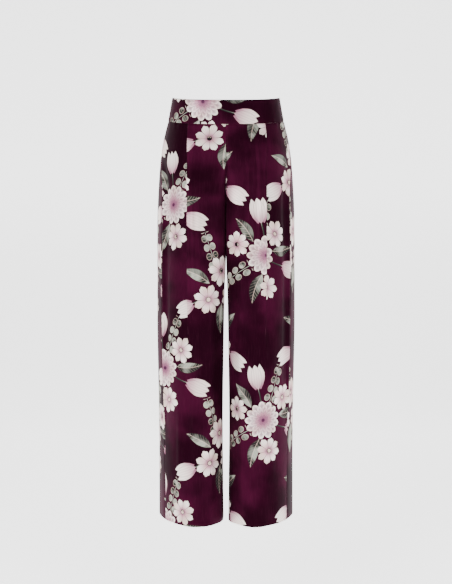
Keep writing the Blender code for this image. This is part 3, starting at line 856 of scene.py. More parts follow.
@dataclass(frozen=True)
class FloralPrint:
    """A generic garden print: cosmos, dahlias, tulips and eucalyptus in a half-drop repeat.

    Args:
        repeat: width and height of the fabric's repeat, which holds two sprays, half dropped.
        reach: how far past its size a motif's place is kept.
    """

    repeat: tuple[float, float] = (0.34, 0.40)
    reach: float = 1.04
    # The ground's dark and light plum, and the brighter glow over them, are partly the cloth's uneven tone
    # and partly painted shade and painted sheen.
    ground: tuple[Colour, Colour] = (linear("1b040f"), linear("33091f"))
    glow: Colour = linear("4c0d2e")
    ivory: Colour = linear("efe2dc")
    cream: Colour = linear("cdb4a8")
    blush: Colour = linear("c08496")
    mauve: Colour = linear("6f3c5a")
    violet: Colour = linear("33192f")
    line: Colour = linear("54353c")
    seed: Colour = linear("1c151a")
    leaf: Colour = linear("8f9488")
    leaf_dark: Colour = linear("262a26")

    SPRAYS = (Spray(DAHLIA_SPRAY, 0.085, 0.100, 0), Spray(COSMOS_SPRAY, 0.255, 0.300, 0))

    # A dahlia's rings of petals, outermost first: reach, petals, offset, point depth, shade
    DAHLIA_RINGS = (
        (0.97, 13, 0.00, 0.20, 0.00), (0.79, 13, 0.50, 0.19, 0.15), (0.61, 12, 0.00, 0.17, 0.40),
        (0.44, 10, 0.50, 0.14, 0.70), (0.27, 7, 0.00, 0.10, 1.00),
    )
    COSMOS_PETALS = 8

    def draw(self, graph: Graph) -> bpy.types.NodeSocket:
        """Adds the print's nodes.

        Args:
            graph: the material's graph, whose piece has the Print map.

        Returns:
            The colour socket.
        """
        cloth = graph.node("ShaderNodeUVMap", uv_map="Print").outputs[0]
        width, height = self.repeat
        place = graph.vector("WRAP", cloth, (width, height, 1.0), (0.0, 0.0, 0.0))
        wash = Wash(graph.noise(cloth, 62.0, 3.0, 0.6), graph.noise(cloth, 30.0, 1.0))
        # Noise clouds the ground between its two plums and adds brighter patches: partly uneven tone,
        # partly painted shade and painted sheen.
        base = graph.mix(graph.noise(cloth, 7.0, 3.0).ramp(0.34, 0.66), self.ground[0], self.ground[1])
        colour = graph.mix(graph.noise(cloth, 3.1).ramp(0.50, 0.80) * 0.7, base, self.glow)
        drawings = {
            Motif.SPRIG: self._sprig, Motif.LEAF: self._leaf, Motif.TULIP: self._tulip,
            Motif.DAHLIA: self._dahlia, Motif.COSMOS: self._cosmos,
        }
        for motif, drawing in drawings.items():
            colour = drawing(graph, self._spot(graph, place, self._tiled(motif)), colour, wash)
        return colour

    def _tiled(self, motif: Motif) -> list[Stamp]:
        """The stamps of a motif, with the copies that reach into the repeat from its neighbours."""
        width, height = self.repeat
        copies = []
        for stamp in (s for spray in self.SPRAYS for s in spray.placed(motif)):
            reach = stamp.size * self.reach
            for du in (-width, 0.0, width):
                for dv in (-height, 0.0, height):
                    u, v = stamp.u + du, stamp.v + dv
                    if -reach < u < width + reach and -reach < v < height + reach:
                        copies.append(Stamp(motif, u, v, stamp.size, stamp.turn, stamp.tone))
        return copies

    def _spot(self, graph: Graph, place: bpy.types.NodeSocket, stamps: Sequence[Stamp]) -> Spot:
        """Finds the topmost stamp of a layer at each point, and the point's place on it."""
        centre: Any = (10.0, 10.0, 0.0)
        manner: Any = (1.0, 0.0, 0.0)
        for stamp in stamps:
            away = graph.value(graph.vector("DISTANCE", place, (stamp.u, stamp.v, 0.0), out=1))
            inside = away < stamp.size * self.reach
            centre = graph.choose(inside, centre, (stamp.u, stamp.v, 0.0))
            manner = graph.choose(inside, manner, (stamp.size, math.radians(stamp.turn), stamp.tone))
        size, turn, tone = graph.split(manner)
        apart = graph.vector("SUBTRACT", place, centre)
        turned = graph.node("ShaderNodeVectorRotate", {"Vector": apart, "Angle": turn * -1.0},
                            rotation_type="Z_AXIS").outputs[0]
        near = graph.node("ShaderNodeVectorMath", {0: turned, "Scale": 1.0 / size},
                          operation="SCALE").outputs[0]
        x, y, _ = graph.split(near)
        radius = graph.value(graph.vector("LENGTH", near, out=1))
        return Spot(x, y, radius, graph.math("ARCTAN2", y, x), tone)

    def _across(self, spot: Spot, petals: int, offset: float = 0.0) -> tuple[Value, Value]:
        """Which petal of a ring a point is on, and how far across it, from -1 to 1."""
        ring = spot.angle * (petals / math.tau) + (petals + offset)
        return ring.floor(), (ring.fract() - 0.5) * 2.0

    def _cosmos(self, graph: Graph, spot: Spot, below: Any, wash: Wash) -> Any:
        """A cosmos: broad petals with toothed tips round a small seeded button."""
        petal, across = self._across(spot, self.COSMOS_PETALS)
        lean = (petal * 2.4 + spot.tone * 9.0).sin()
        tooth = (across * 10.0).cos() * 0.022
        edge = 0.95 - across * across * 0.30 + tooth + lean * 0.03 - spot.radius + (wash.fine - 0.5) * 0.05
        tint = graph.mix(wash.broad.ramp(0.40, 0.68) * 0.8, self.ivory, self.cream)
        shade = graph.mix(spot.radius.ramp(0.75, 0.22) * 0.75, tint, self.blush)
        shade = graph.mix(spot.radius.ramp(0.42, 0.16) * 0.7, shade, self.mauve)
        shade = graph.mix((lean * 0.5 + 0.5) * across.ramp(-0.2, 1.0) * 0.45, shade, self.cream)
        groove = (across * 13.0).cos().ramp(0.70, 1.0) * spot.radius.ramp(0.22, 0.42) * 0.30
        division = abs(across).ramp(0.82, 0.98) * spot.radius.ramp(0.15, 0.24) * 0.75
        border = edge.ramp(0.05, 0.01) * 0.5
        marks = graph.math("MAXIMUM", graph.math("MAXIMUM", groove, division), border)
        shade = graph.mix(marks, shade, self.line)
        shade = graph.mix(spot.radius.ramp(0.19, 0.16), shade, self.seed)
        shade = graph.mix(spot.radius.ramp(0.15, 0.12) * wash.fine.ramp(0.40, 0.60), shade, self.cream)
        return graph.mix(edge.ramp(0.0, 0.02), below, shade)

    def _dahlia(self, graph: Graph, spot: Spot, below: Any, wash: Wash) -> Any:
        """A dahlia: rings of pointed petals that deepen to the middle."""
        colour = below
        for reach, petals, offset, depth, deep in self.DAHLIA_RINGS:
            petal, across = self._across(spot, petals, offset)
            lean = (petal * 2.1 + deep * 5.0).sin()
            edge = reach - across * across * depth + lean * 0.015 - spot.radius + (wash.fine - 0.5) * 0.03
            shade = graph.mix(wash.broad.ramp(0.40, 0.68) * 0.7, self.ivory, self.cream)
            shade = graph.mix(min(deep * 1.2, 0.9), shade, self.blush)
            shade = graph.mix(deep * deep * 0.75, shade, self.mauve)
            shade = graph.mix(edge.ramp(0.02, 0.24) * 0.65, shade, self.mauve)
            shade = graph.mix(abs(across).ramp(0.12, 0.0) * edge.ramp(0.02, 0.10) * 0.35, shade, self.line)
            shade = graph.mix(abs(across).ramp(0.72, 1.0) * 0.55, shade, self.violet)
            shade = graph.mix(edge.ramp(0.030, 0.004) * 0.5, shade, self.line)
            colour = graph.mix(edge.ramp(0.0, 0.016), colour, shade)
        return graph.mix(spot.radius.ramp(0.12, 0.06) * 0.8, colour, self.violet)

    def _tulip(self, graph: Graph, spot: Spot, below: Any, wash: Wash) -> Any:
        """A tulip from the side: two outer petals behind a middle one, on a stem."""
        rough = (wash.fine - 0.5) * 0.03
        along = (spot.x - 0.44) / 0.54
        body = 1.0 - along * along
        side = abs(spot.y)
        outer = body * 0.20 - abs(side - 0.17 - along * 0.06) + rough
        middle = body * 0.25 - side + rough
        stem = graph.math("MINIMUM", 0.030 - abs(spot.y - spot.x * (spot.x + 1.0) * 0.12), 0.0 - spot.x)
        stem = graph.math("MINIMUM", stem, spot.x + 1.0)
        colour = graph.mix(stem.ramp(0.0, 0.012), below, graph.mix(spot.y.ramp(-0.02, 0.02),
                                                                   self.leaf_dark, self.leaf))
        base = along.ramp(0.5, -0.9)
        streak = (spot.y * 62.0 + along * 2.0).cos().ramp(0.55, 1.0) * 0.28
        for edge, deep in ((outer, 0.85), (middle, 0.55)):
            shade = graph.mix(base * deep, graph.mix(spot.tone * 0.5, self.ivory, self.cream), self.blush)
            shade = graph.mix(base * base * deep * 0.8, shade, self.mauve)
            shade = graph.mix(streak, shade, self.mauve)
            shade = graph.mix(edge.ramp(0.030, 0.005) * 0.6, shade, self.line)
            colour = graph.mix(edge.ramp(0.0, 0.014), colour, shade)
        return colour

    def _leaf(self, graph: Graph, spot: Spot, below: Any, wash: Wash) -> Any:
        """An oval leaf with a midrib and side veins."""
        bend = spot.y - spot.x * spot.x * 0.14
        side = abs(bend)
        edge = (1.0 - spot.x * spot.x) * (0.36 - spot.x * 0.06) - side + (wash.fine - 0.5) * 0.04
        tone = graph.mix(wash.broad.ramp(0.38, 0.64), self.leaf_dark, self.leaf)
        vein = ((spot.x - side * 0.9) * 30.0).cos().ramp(0.6, 1.0) * 0.25
        shade = graph.mix(vein, tone, self.cream)
        shade = graph.mix(bend.ramp(0.02, -0.04) * 0.5, shade, self.seed)
        shade = graph.mix(side.ramp(0.024, 0.008) * 0.6, shade, self.cream)
        shade = graph.mix(edge.ramp(0.035, 0.008) * 0.6, shade, self.leaf_dark)
        return graph.mix(edge.ramp(0.0, 0.012), below, shade)

    def _sprig(self, graph: Graph, spot: Spot, below: Any, wash: Wash) -> Any:
        """A eucalyptus sprig: pairs of round leaves along a thin stem."""
        pairs = spot.x * 2.2 + 3.0
        along = (pairs.fract() - 0.5) / 2.2
        side = abs(spot.y)
        away = side - 0.17 + spot.x * 0.05
        oval = 1.0 - graph.math("SQRT", along * along * 30.0 + away * away * 48.0)
        ends = 1.0 - abs(spot.x)
        edge = graph.math("MINIMUM", oval * 0.15 + (wash.fine - 0.5) * 0.02, ends)
        stem = graph.math("MINIMUM", 0.014 - side, ends)
        tone = graph.mix(wash.broad.ramp(0.36, 0.62), self.leaf_dark, self.leaf)
        shade = graph.mix(oval.ramp(0.30, 0.05) * 0.5, tone, self.cream)
        shade = graph.mix(abs(along).ramp(0.012, 0.0) * 0.5, shade, self.cream)
        colour = graph.mix(stem.ramp(0.0, 0.006), below, self.leaf)
        return graph.mix(edge.ramp(0.0, 0.012), colour, shade)


# ---- Finishes -------------------------------------------------------------------------------
def new_material(name: str) -> tuple[bpy.types.Material, Graph]:
    """An empty node material and its graph."""
    material = bpy.data.materials.new(name)
    material.use_nodes = True
    return material, Graph(material.node_tree)


def close_material(graph: Graph, shader: bpy.types.Node) -> None:
    """Joins a shader to the material's output."""
    graph.node("ShaderNodeOutputMaterial", {0: shader.outputs[0]})


@dataclass(frozen=True)
class Satin:
    """Printed satin: a fine filament weave with faint slubs and handling wrinkles.

    Args:
        name: the material's name.
        print: the print that it carries.
        fade: how far the print washes out towards the back colour.
        back: that colour.
        roughness: of the weave.
        sheen: strength of the filaments' sheen.
        weave: threads a metre, as drawn.
    """

    name: str
    print: FloralPrint
    fade: float
    back: Colour
    roughness: float
    sheen: float
    weave: float = 2600.0

    def build(self) -> bpy.types.Material:
        """Makes the material."""
        material, graph = new_material(self.name)
        colour = self.print.draw(graph)
        if self.fade > 0:
            colour = graph.mix(self.fade, colour, self.back)
        cloth = graph.node("ShaderNodeUVMap", uv_map="Print").outputs[0]
        u, v, _ = graph.split(cloth)
        slub = graph.noise(graph.vector("MULTIPLY", cloth, (1.0, 0.06, 1.0)), 420.0, 2.0)
        colour = graph.mix((slub - 0.5).ramp(0.0, 0.35) * 0.03, colour, self.back)
        twill = ((u + v * 0.35) * self.weave).sin() * 0.5 + ((v - u * 0.2) * self.weave * 0.6).sin() * 0.25
        wrinkle = graph.noise(graph.vector("MULTIPLY", cloth, (1.0, 0.35, 1.0)), 34.0, 4.0, 0.55)
        dimple = graph.noise(cloth, 9.0, 2.0)
        height = twill * 0.00002 + slub * 0.00003 + wrinkle * 0.0007 + dimple * 0.0012
        bump = graph.node("ShaderNodeBump", {"Strength": 0.55, "Distance": 1.0, "Height": height})
        rough = self.roughness + (wrinkle - 0.5) * 0.10 + (slub - 0.5) * 0.06
        shader = graph.node("ShaderNodeBsdfPrincipled", {
            "Base Color": colour, "Roughness": rough, "Normal": bump.outputs[0],
            "Specular IOR Level": 0.0, "Metallic": 0.22,
            "Sheen Weight": self.sheen, "Sheen Roughness": 0.38,
            "Sheen Tint": (0.80, 0.45, 0.60, 1.0), "Anisotropic": 0.25,
        })
        close_material(graph, shader)
        return material


@dataclass(frozen=True)
class WovenTape:
    """The zip's dull herringbone tape.

    Args:
        name: the material's name.
        colour: of the threads.
        ribs: ribs a metre.
    """

    name: str = "zip_tape_weave"
    colour: Colour = linear("431428")
    ribs: float = 1100.0

    def build(self) -> bpy.types.Material:
        """Makes the material, on object coordinates."""
        material, graph = new_material(self.name)
        place = graph.node("ShaderNodeTexCoord").outputs["Object"]
        x, _, z = graph.split(place)
        zigzag = ((abs(x) + z) * (self.ribs * math.tau)).sin()
        fuzz = graph.noise(place, 900.0)
        colour = graph.mix(zigzag.ramp(-0.6, 0.8) * 0.5 + fuzz * 0.2, self.colour, linear("6d3450"))
        bump = graph.node("ShaderNodeBump", {"Distance": 0.0001, "Height": zigzag})
        shader = graph.node("ShaderNodeBsdfPrincipled", {
            "Base Color": colour, "Roughness": 0.72 + fuzz * 0.15, "Normal": bump.outputs[0]})
        close_material(graph, shader)
        return material


@dataclass(frozen=True)
class Enamel:
    """Enamel on a die-cast zip part, rubbed a little at its edges.

    Args:
        name: the material's name.
        colour: of the enamel.
        bare: of the metal where it is rubbed.
    """

    name: str = "zip_enamel"
    colour: Colour = linear("4a1630")
    bare: Colour = linear("8a6a74")

    def build(self) -> bpy.types.Material:
        """Makes the material."""
        material, graph = new_material(self.name)
        place = graph.node("ShaderNodeTexCoord").outputs["Object"]
        speck = self._speck(graph, place, 700.0)
        edge = graph.value(graph.node("ShaderNodeNewGeometry").outputs["Pointiness"])
        rubbed = edge.ramp(0.52, 0.60) * speck.ramp(0.35, 0.75)
        colour = graph.mix(rubbed, self.colour, self.bare)
        bump = graph.node("ShaderNodeBump", {"Distance": 0.00004, "Height": speck})
        shader = graph.node("ShaderNodeBsdfPrincipled", {
            "Base Color": colour, "Roughness": speck * 0.12 + 0.26, "Metallic": rubbed * 0.8 + 0.1,
            "Coat Weight": 0.5, "Normal": bump.outputs[0]})
        close_material(graph, shader)
        return material

    @staticmethod
    def _speck(graph: Graph, place: bpy.types.NodeSocket, scale: float) -> Value:
        """Fine noise through the solid."""
        node = graph.node("ShaderNodeTexNoise", {"Vector": place, "Scale": scale, "Detail": 3.0})
        return graph.value(node.outputs[0])


@dataclass(frozen=True)
class Thread:
    """Twisted polyester sewing thread.

    Args:
        name: the material's name.
        colour: of the thread.
    """

    name: str = "sewing_thread"
    colour: Colour = linear("5a2440")

    def build(self) -> bpy.types.Material:
        """Makes the material, its ply drawn across the stitches."""
        material, graph = new_material(self.name)
        place = graph.node("ShaderNodeTexCoord").outputs["Object"]
        x, y, z = graph.split(place)
        ply = ((x + y + z) * 9000.0).sin()
        colour = graph.mix(ply.ramp(-0.5, 1.0) * 0.6, self.colour, linear("8c5872"))
        bump = graph.node("ShaderNodeBump", {"Distance": 0.00005, "Height": ply})
        shader = graph.node("ShaderNodeBsdfPrincipled", {
            "Base Color": colour, "Roughness": 0.55 + ply * 0.08, "Normal": bump.outputs[0]})
        close_material(graph, shader)
        return material


@dataclass(frozen=True)
class Paper:
    """The studio's pale seamless paper.

    Args:
        name: the material's name.
        colour: of the paper.
        glow: the light that it gives back from the studio's own paper lamps.
    """

    name: str = "studio_paper"
    colour: Colour = (0.94, 0.94, 0.94)
    glow: float = 1.9

    def build(self) -> bpy.types.Material:
        """Makes the material."""
        material, graph = new_material(self.name)
        place = graph.node("ShaderNodeTexCoord").outputs["Object"]
        grain = graph.noise(place, 60.0, 3.0)
        colour = graph.mix(grain * 0.05, self.colour, (0.86, 0.86, 0.86))
        shader = graph.node("ShaderNodeBsdfPrincipled",
                            {"Base Color": colour, "Roughness": 0.9 + grain * 0.05,
                             "Emission Color": colour, "Emission Strength": self.glow})
        close_material(graph, shader)
        return material


# ---- Leg panels -----------------------------------------------------------------------------
# The pleat's fold in section: offset from its fold edge, and height as a share of the rise
LIP = (
    (-0.0060, 1.00), (-0.0032, 1.00), (-0.0012, 1.00), (-0.0003, 0.97), (0.0000, 0.86),
    (-0.0003, 0.74), (-0.0014, 0.66), (-0.0028, 0.56), (-0.0034, 0.30), (-0.0030, 0.08),
    (-0.0014, 0.01), (0.0006, 0.00), (0.0030, 0.00),
)
# Distances from a seam at which a panel has columns: the groove and the turned allowance
SEAM_COLUMNS = (0.0, 0.0006, 0.0014, 0.0026, 0.0045, 0.0080, 0.0114, 0.0124)


@dataclass
class LegPanel:
    """One of the four leg panels.

    Args:
        face: front or back.
        side: the wearer's side.
        lay: where the panel's crease line at the waist lies on the fabric, in metres.
        wall: thickness of the satin.
        allowance: extra thickness of the turned seam allowances.
        hem_depth: height of the turned hem.
        row_step: height of a row of the grid.
    """

    face: Face
    side: Side
    lay: tuple[float, float]
    wall: float = 0.0006
    allowance: float = 0.0007
    hem_depth: float = 0.028
    row_step: float = 0.0042
    pleat_x: float = field(init=False)
    outer: np.ndarray = field(init=False, default_factory=lambda: np.zeros(0))
    inner_hem: np.ndarray = field(init=False, default_factory=lambda: np.zeros(0))

    def __post_init__(self) -> None:
        """Sets the pleat's place, which differs a little from side to side."""
        self.pleat_x = 0.0955 if self.side is Side.LEFT else 0.0920

    @property
    def node(self) -> str:
        """The frame's node that the panel stands for."""
        return f"{self.face.value}_{self.side.word}"

    def levels(self) -> np.ndarray:
        """Heights of the grid's rows, closer at the waist seam and round the hem."""
        top = BAND_SEAM_Z - SEAM_GAP / 2
        near_top = top - np.array([0.0, 0.0008, 0.0018, 0.0032, 0.0050, 0.0075])
        hem_top = HEM_Z + self.hem_depth
        near_hem = HEM_Z + np.array([0.0022, 0.0011, 0.0004, 0.0])
        upper = np.linspace(near_top[-1], hem_top + 0.0005, round((near_top[-1] - hem_top) / self.row_step))
        lower = np.linspace(hem_top - 0.0005, HEM_Z + 0.0045, 7)
        return np.concatenate([near_top, upper[1:], lower, near_hem])

    def columns(self, outline: Outline) -> tuple[np.ndarray, np.ndarray, np.ndarray]:
        """Lengths of a row's points, the pleat's height at each, and the share of its intake."""
        near = SEAM_GAP / 2 + np.array(SEAM_COLUMNS)
        far = outline.side - near[::-1]
        inner = np.linspace(near[-1], outline.corner, 15)[1:]
        middle = np.linspace(outline.corner, outline.crown, 25)[1:]
        if self.face is Face.BACK:
            outer = np.linspace(outline.crown, far[0], 50)[1:-1]
            lengths = np.concatenate([near, inner, middle, outer, far])
            return lengths, np.zeros_like(lengths), np.zeros_like(lengths)
        pleat = outline.length_at_x(self.pleat_x)
        rise = PLEAT.at(outline.z, "rise")
        open_share = float(smooth(rise / 0.0026))
        folded = np.array(LIP)
        flat = np.linspace(folded[0, 0], folded[-1, 0], len(folded))
        step = np.clip(1 - flat / 0.0025, 0.0, 1.0)
        lip = pleat + flat + (folded[:, 0] - flat) * open_share
        lip_height = rise * (step + (folded[:, 1] - step) * open_share)
        slope = np.linspace(outline.crown, lip[0], 13)[1:-1]
        outer = np.linspace(lip[-1], far[0], 26)[1:-1]
        lengths = np.concatenate([near, inner, middle, slope, lip, outer, far])
        height = rise * smooth(1 + (lengths - pleat) / PLEAT_SLOPE)
        first = len(near) + len(inner) + len(middle) + len(slope)
        last = first + len(lip)
        height[first:last] = lip_height
        height[last:] = 0.0
        hidden = np.zeros_like(lengths)
        hidden[first:last] = smooth((np.arange(len(lip)) - 3) / 6)
        hidden[last:] = 1.0
        return lengths, height, hidden

    def small_relief(self, outline: Outline, lengths: np.ndarray) -> np.ndarray:
        """Seam grooves, the puckers beside them and the hem's gentle wave."""
        z = outline.z
        inner, outer = lengths, outline.side - lengths
        dip = -0.0009 * (1 - smooth(inner / 0.0035)) - 0.0007 * (1 - smooth(outer / 0.0030))
        below = BAND_SEAM_Z - z
        dip = dip - 0.0010 * (1 - smooth(below / 0.0050))
        side_pull = 0.6 * math.sin(z * 385.0) + 0.5 * math.sin(z * 531.0 + 1.3)
        side_pull *= 0.7 + 0.5 * math.sin(z * 23.0)
        inner_pull = 0.5 * math.sin(z * 342.0 + 0.6) + 0.4 * math.sin(z * 497.0)
        pucker = 0.00042 * side_pull * np.exp(-((outer / 0.008) ** 2))
        pucker = pucker + 0.00034 * inner_pull * np.exp(-((inner / 0.009) ** 2))
        waist = np.sin(lengths * 290.0 + self.side.value) + 0.7 * np.sin(lengths * 431.0)
        pucker = pucker + 0.00040 * waist * math.exp(-((below / 0.013) ** 2))
        share = lengths / outline.side
        wave = np.sin(share * 21.0 + self.side.value * 0.8) + 0.6 * np.sin(share * 37.0 + 1.9)
        held = np.sin(np.clip(share, 0, 1) * math.pi)
        wave = 0.0011 * wave * held * math.exp(-(((z - HEM_Z) / 0.075) ** 2))
        return dip + pucker + wave

    def thickness(self, outline: Outline, lengths: np.ndarray, height: np.ndarray) -> np.ndarray:
        """Wall at a row's points, with the seam allowances and the turned hem."""
        edge = np.minimum(lengths, outline.side - lengths)
        wall = np.full_like(lengths, self.wall) + self.allowance * (edge < 0.0119)
        wall += self.wall * float(outline.z < HEM_Z + self.hem_depth)
        in_fold = (height > 0) & (np.abs(np.diff(lengths, prepend=lengths[0] - 1)) < 0.0016)
        return np.where(in_fold & (edge > 0.02), self.wall * 0.6, wall)

    def build(self, finishes: Sequence[bpy.types.Material]) -> bpy.types.Object:
        """Builds the panel, hangs it on the frame and states its cut.

        Args:
            finishes: the satin's right side and its reverse.

        Returns:
            The panel's object.
        """
        points, walls, cloth, facing = [], [], [], []
        sign = self.side.value
        drop = 0.0
        crease: np.ndarray | None = None
        for z in self.levels():
            outline = Outline(self.face, float(z))
            lengths, pleat, hidden = self.columns(outline)
            relief = pleat + self.small_relief(outline, lengths)
            for fold in FOLDS:
                if fold.face is self.face and fold.side in (None, self.side):
                    relief = relief + fold.relief(outline, lengths)
            outward = outline.outward(lengths)
            pressed = 1 - float(smooth((LEGS_PART_Z - z) / LEGS_PART_FADE))
            relief = relief * (1 - pressed * np.clip(-outward[:, 0], 0, 1))
            level = outline.at(lengths) + outward * relief[:, None]
            level[:, 0] = np.maximum(level[:, 0], SEAM_GAP / 2)
            lift = waist_rise(z, level[:, 1])
            bend = PRESS_BEND * np.sin(level[:, 1] * PRESS_WAVE)
            bend = bend * np.exp(-((level[:, 0] / PRESS_WIDTH) ** 2))
            bend = bend * pressed * float(smooth((PRESS_TOP_Z - z) / PRESS_TOP_FADE))
            points.append(np.stack([sign * level[:, 0] + bend, level[:, 1], z + lift], axis=1))
            facing.append(np.stack([sign * outward[:, 0], outward[:, 1], 0 * lift], axis=1))
            walls.append(self.thickness(outline, lengths, pleat))
            here = np.array([0.0, SECTIONS.at(z, self.face.value + "_y"), z])
            drop += 0.0 if crease is None else float(np.linalg.norm(here - crease))
            crease = here
            along = lengths - outline.crown + hidden * PLEAT.at(z, "intake")
            turn = sign if self.face is Face.FRONT else -sign
            down = np.full_like(along, self.lay[1] - drop)
            cloth.append(np.stack([self.lay[0] + turn * along, down], axis=1))
        self.outer = np.array(points)
        shell = Shell(self.node + "_satin", self.outer, np.array(walls), np.array(cloth),
                      np.array(facing), roll=(0.0, 0.45))
        item = shell.build(finishes)
        self._hem_line()
        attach(item, BODY)
        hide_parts(self.node)
        width, length, area = self.cut(np.array(cloth))
        LOG.info("%s: cut %.3f x %.3f m, %.3f m2", item.name, width, length, area)
        return item

    def cut(self, cloth: np.ndarray) -> tuple[float, float, float]:
        """The flat cut: its width, length and area, with 10 mm seams and a 35 mm hem."""
        seam, hem = 0.010, 0.035
        widths = np.abs(cloth[:, -1, 0] - cloth[:, 0, 0]) + 2 * seam
        length = float(cloth[0, 0, 1] - cloth[-1, 0, 1]) + seam + hem
        heights = cloth[:, 0, 1]
        area = float(np.sum((widths[1:] + widths[:-1]) / 2 * -np.diff(heights)))
        area += float(widths[0]) * seam + float(widths[-1]) * hem
        return float(widths.max()), length, area

    def _hem_line(self) -> None:
        """Keeps the line on the inner face where the blind hem's stitches lie."""
        levels = self.levels()
        row = int(np.argmin(np.abs(levels - (HEM_Z + self.hem_depth - 0.003))))
        step = self.outer[row + 1] - self.outer[row - 1]
        across = np.gradient(self.outer[row], axis=0)
        normal = np.cross(across, step)
        normal /= np.linalg.norm(normal, axis=1, keepdims=True)
        centre = np.array([self.side.value * 0.085, 0.0, levels[row]])
        inwards = np.sign(((centre - self.outer[row]) * normal).sum(axis=1, keepdims=True))
        self.inner_hem = (self.outer[row] + normal * inwards * (2 * self.wall + 0.0001))[9:-9]


# ---- Waistband ------------------------------------------------------------------------------
@dataclass
class Waistband:
    """The shaped, faced waistband: one front piece and two back pieces.

    Args:
        wall: its thickness with the facing and interfacing.
        rows: rows of its grid.
        columns: columns from the centre to the side seam.
        allowance: width of its seam allowances, which are graded; not used.
    """

    wall: float = 0.0021
    rows: int = 18
    columns: int = 62
    allowance: float = 0.006
    facing_line: np.ndarray = field(init=False, default_factory=lambda: np.zeros(0))

    def half(self, face: Face) -> tuple[np.ndarray, np.ndarray, np.ndarray]:
        """Points, outward directions and lengths of half the band, in rows from the top down."""
        bottom = BAND_SEAM_Z + SEAM_GAP / 2
        share = np.linspace(0.0, 1.0, self.rows)
        spacing = share - 0.11 * np.sin(share * math.tau) / math.tau * 2
        levels = BAND_TOP_Z + (bottom - BAND_TOP_Z) * spacing
        points, facing, run = [], [], []
        for z in levels:
            outline = Outline(face, float(z))
            near = SEAM_GAP / 2 + np.array(SEAM_COLUMNS[:6])
            far = outline.side - near[::-1]
            lengths = np.concatenate([near, np.linspace(near[-1], far[0], self.columns)[1:-1], far])
            above, below = BAND_TOP_Z - z, z - bottom
            relief = BAND_PROUD - 0.0008 * (1 - smooth(below / 0.0045))
            relief = relief - 0.0009 * (1 - smooth(above / 0.0022)) ** 2
            centre = lengths if face is Face.BACK else np.full_like(lengths, 1.0)
            seam = np.minimum(centre, outline.side - lengths)
            relief = relief - 0.0007 * (1 - smooth(seam / 0.0028))
            ripple = np.sin(lengths * 310.0 + 0.4) + 0.7 * np.sin(lengths * 455.0 + 2.0)
            relief = relief + 0.00022 * ripple * math.exp(-((below / 0.010) ** 2))
            height = math.pi * above / (BAND_TOP_Z - bottom)
            swell = 0.0005 * np.sin(lengths * 47.0 + 1.0) * math.sin(height)
            outward = outline.outward(lengths)
            level = outline.at(lengths) + outward * (relief + swell)[:, None]
            level[:, 0] = np.maximum(level[:, 0], SEAM_GAP / 2)
            lift = waist_rise(z, level[:, 1])
            points.append(np.column_stack([level, z + lift]))
            facing.append(np.column_stack([outward, 0 * lift]))
            run.append(lengths)
        return np.array(points), np.array(facing), np.array(run)

    def build(self, finishes: Sequence[bpy.types.Material]) -> list[bpy.types.Object]:
        """Builds the three pieces."""
        flip = np.array([-1.0, 1.0, 1.0])
        points, facing, run = self.half(Face.FRONT)
        middle = points[:, :1] * np.array([0.0, 1.0, 1.0])
        out = facing[:, :1] * np.array([0.0, 1.0, 1.0])
        whole = np.concatenate([points[:, ::-1] * flip, middle, points], axis=1)
        whole_out = np.concatenate([facing[:, ::-1] * flip, out, facing], axis=1)
        along = np.concatenate([-run[:, ::-1], 0 * run[:, :1], run], axis=1)
        items = [self._piece("waistband_front", whole, whole_out, along, (0.480, 0.105), finishes)]
        self.facing_line = self._inner_row(whole, whole_out)
        points, facing, run = self.half(Face.BACK)
        for side, lay in ((Side.LEFT, (0.050, 0.290)), (Side.RIGHT, (0.150, 0.170))):
            turned = points * np.array([side.value, 1.0, 1.0])
            out = facing * np.array([side.value, 1.0, 1.0])
            name = "waistband_back_" + side.word
            items.append(self._piece(name, turned, out, -side.value * run, lay, finishes))
        return items

    def _inner_row(self, points: np.ndarray, facing: np.ndarray) -> np.ndarray:
        """The understitching's line, on the facing just below the top edge."""
        return (points[3] - facing[3] * (self.wall + 0.00012))[4:-4]

    def _piece(self, name: str, points: np.ndarray, facing: np.ndarray, along: np.ndarray,
               lay: tuple[float, float], finishes: Sequence[bpy.types.Material]) -> bpy.types.Object:
        """Builds one piece of the band, cut from its own place on the fabric."""
        heights = np.concatenate([[0.0], np.cumsum(np.linalg.norm(np.diff(points[:, 0], axis=0), axis=1))])
        down = np.broadcast_to(heights[:, None], along.shape)
        cloth = np.stack([lay[0] + along, lay[1] - down], axis=2)
        wall = np.full(along.shape, self.wall)
        item = Shell(name + "_satin", points, wall, cloth, facing, roll=(0.45, 0.0)).build(finishes)
        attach(item, BODY)
        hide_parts(name)
        return item


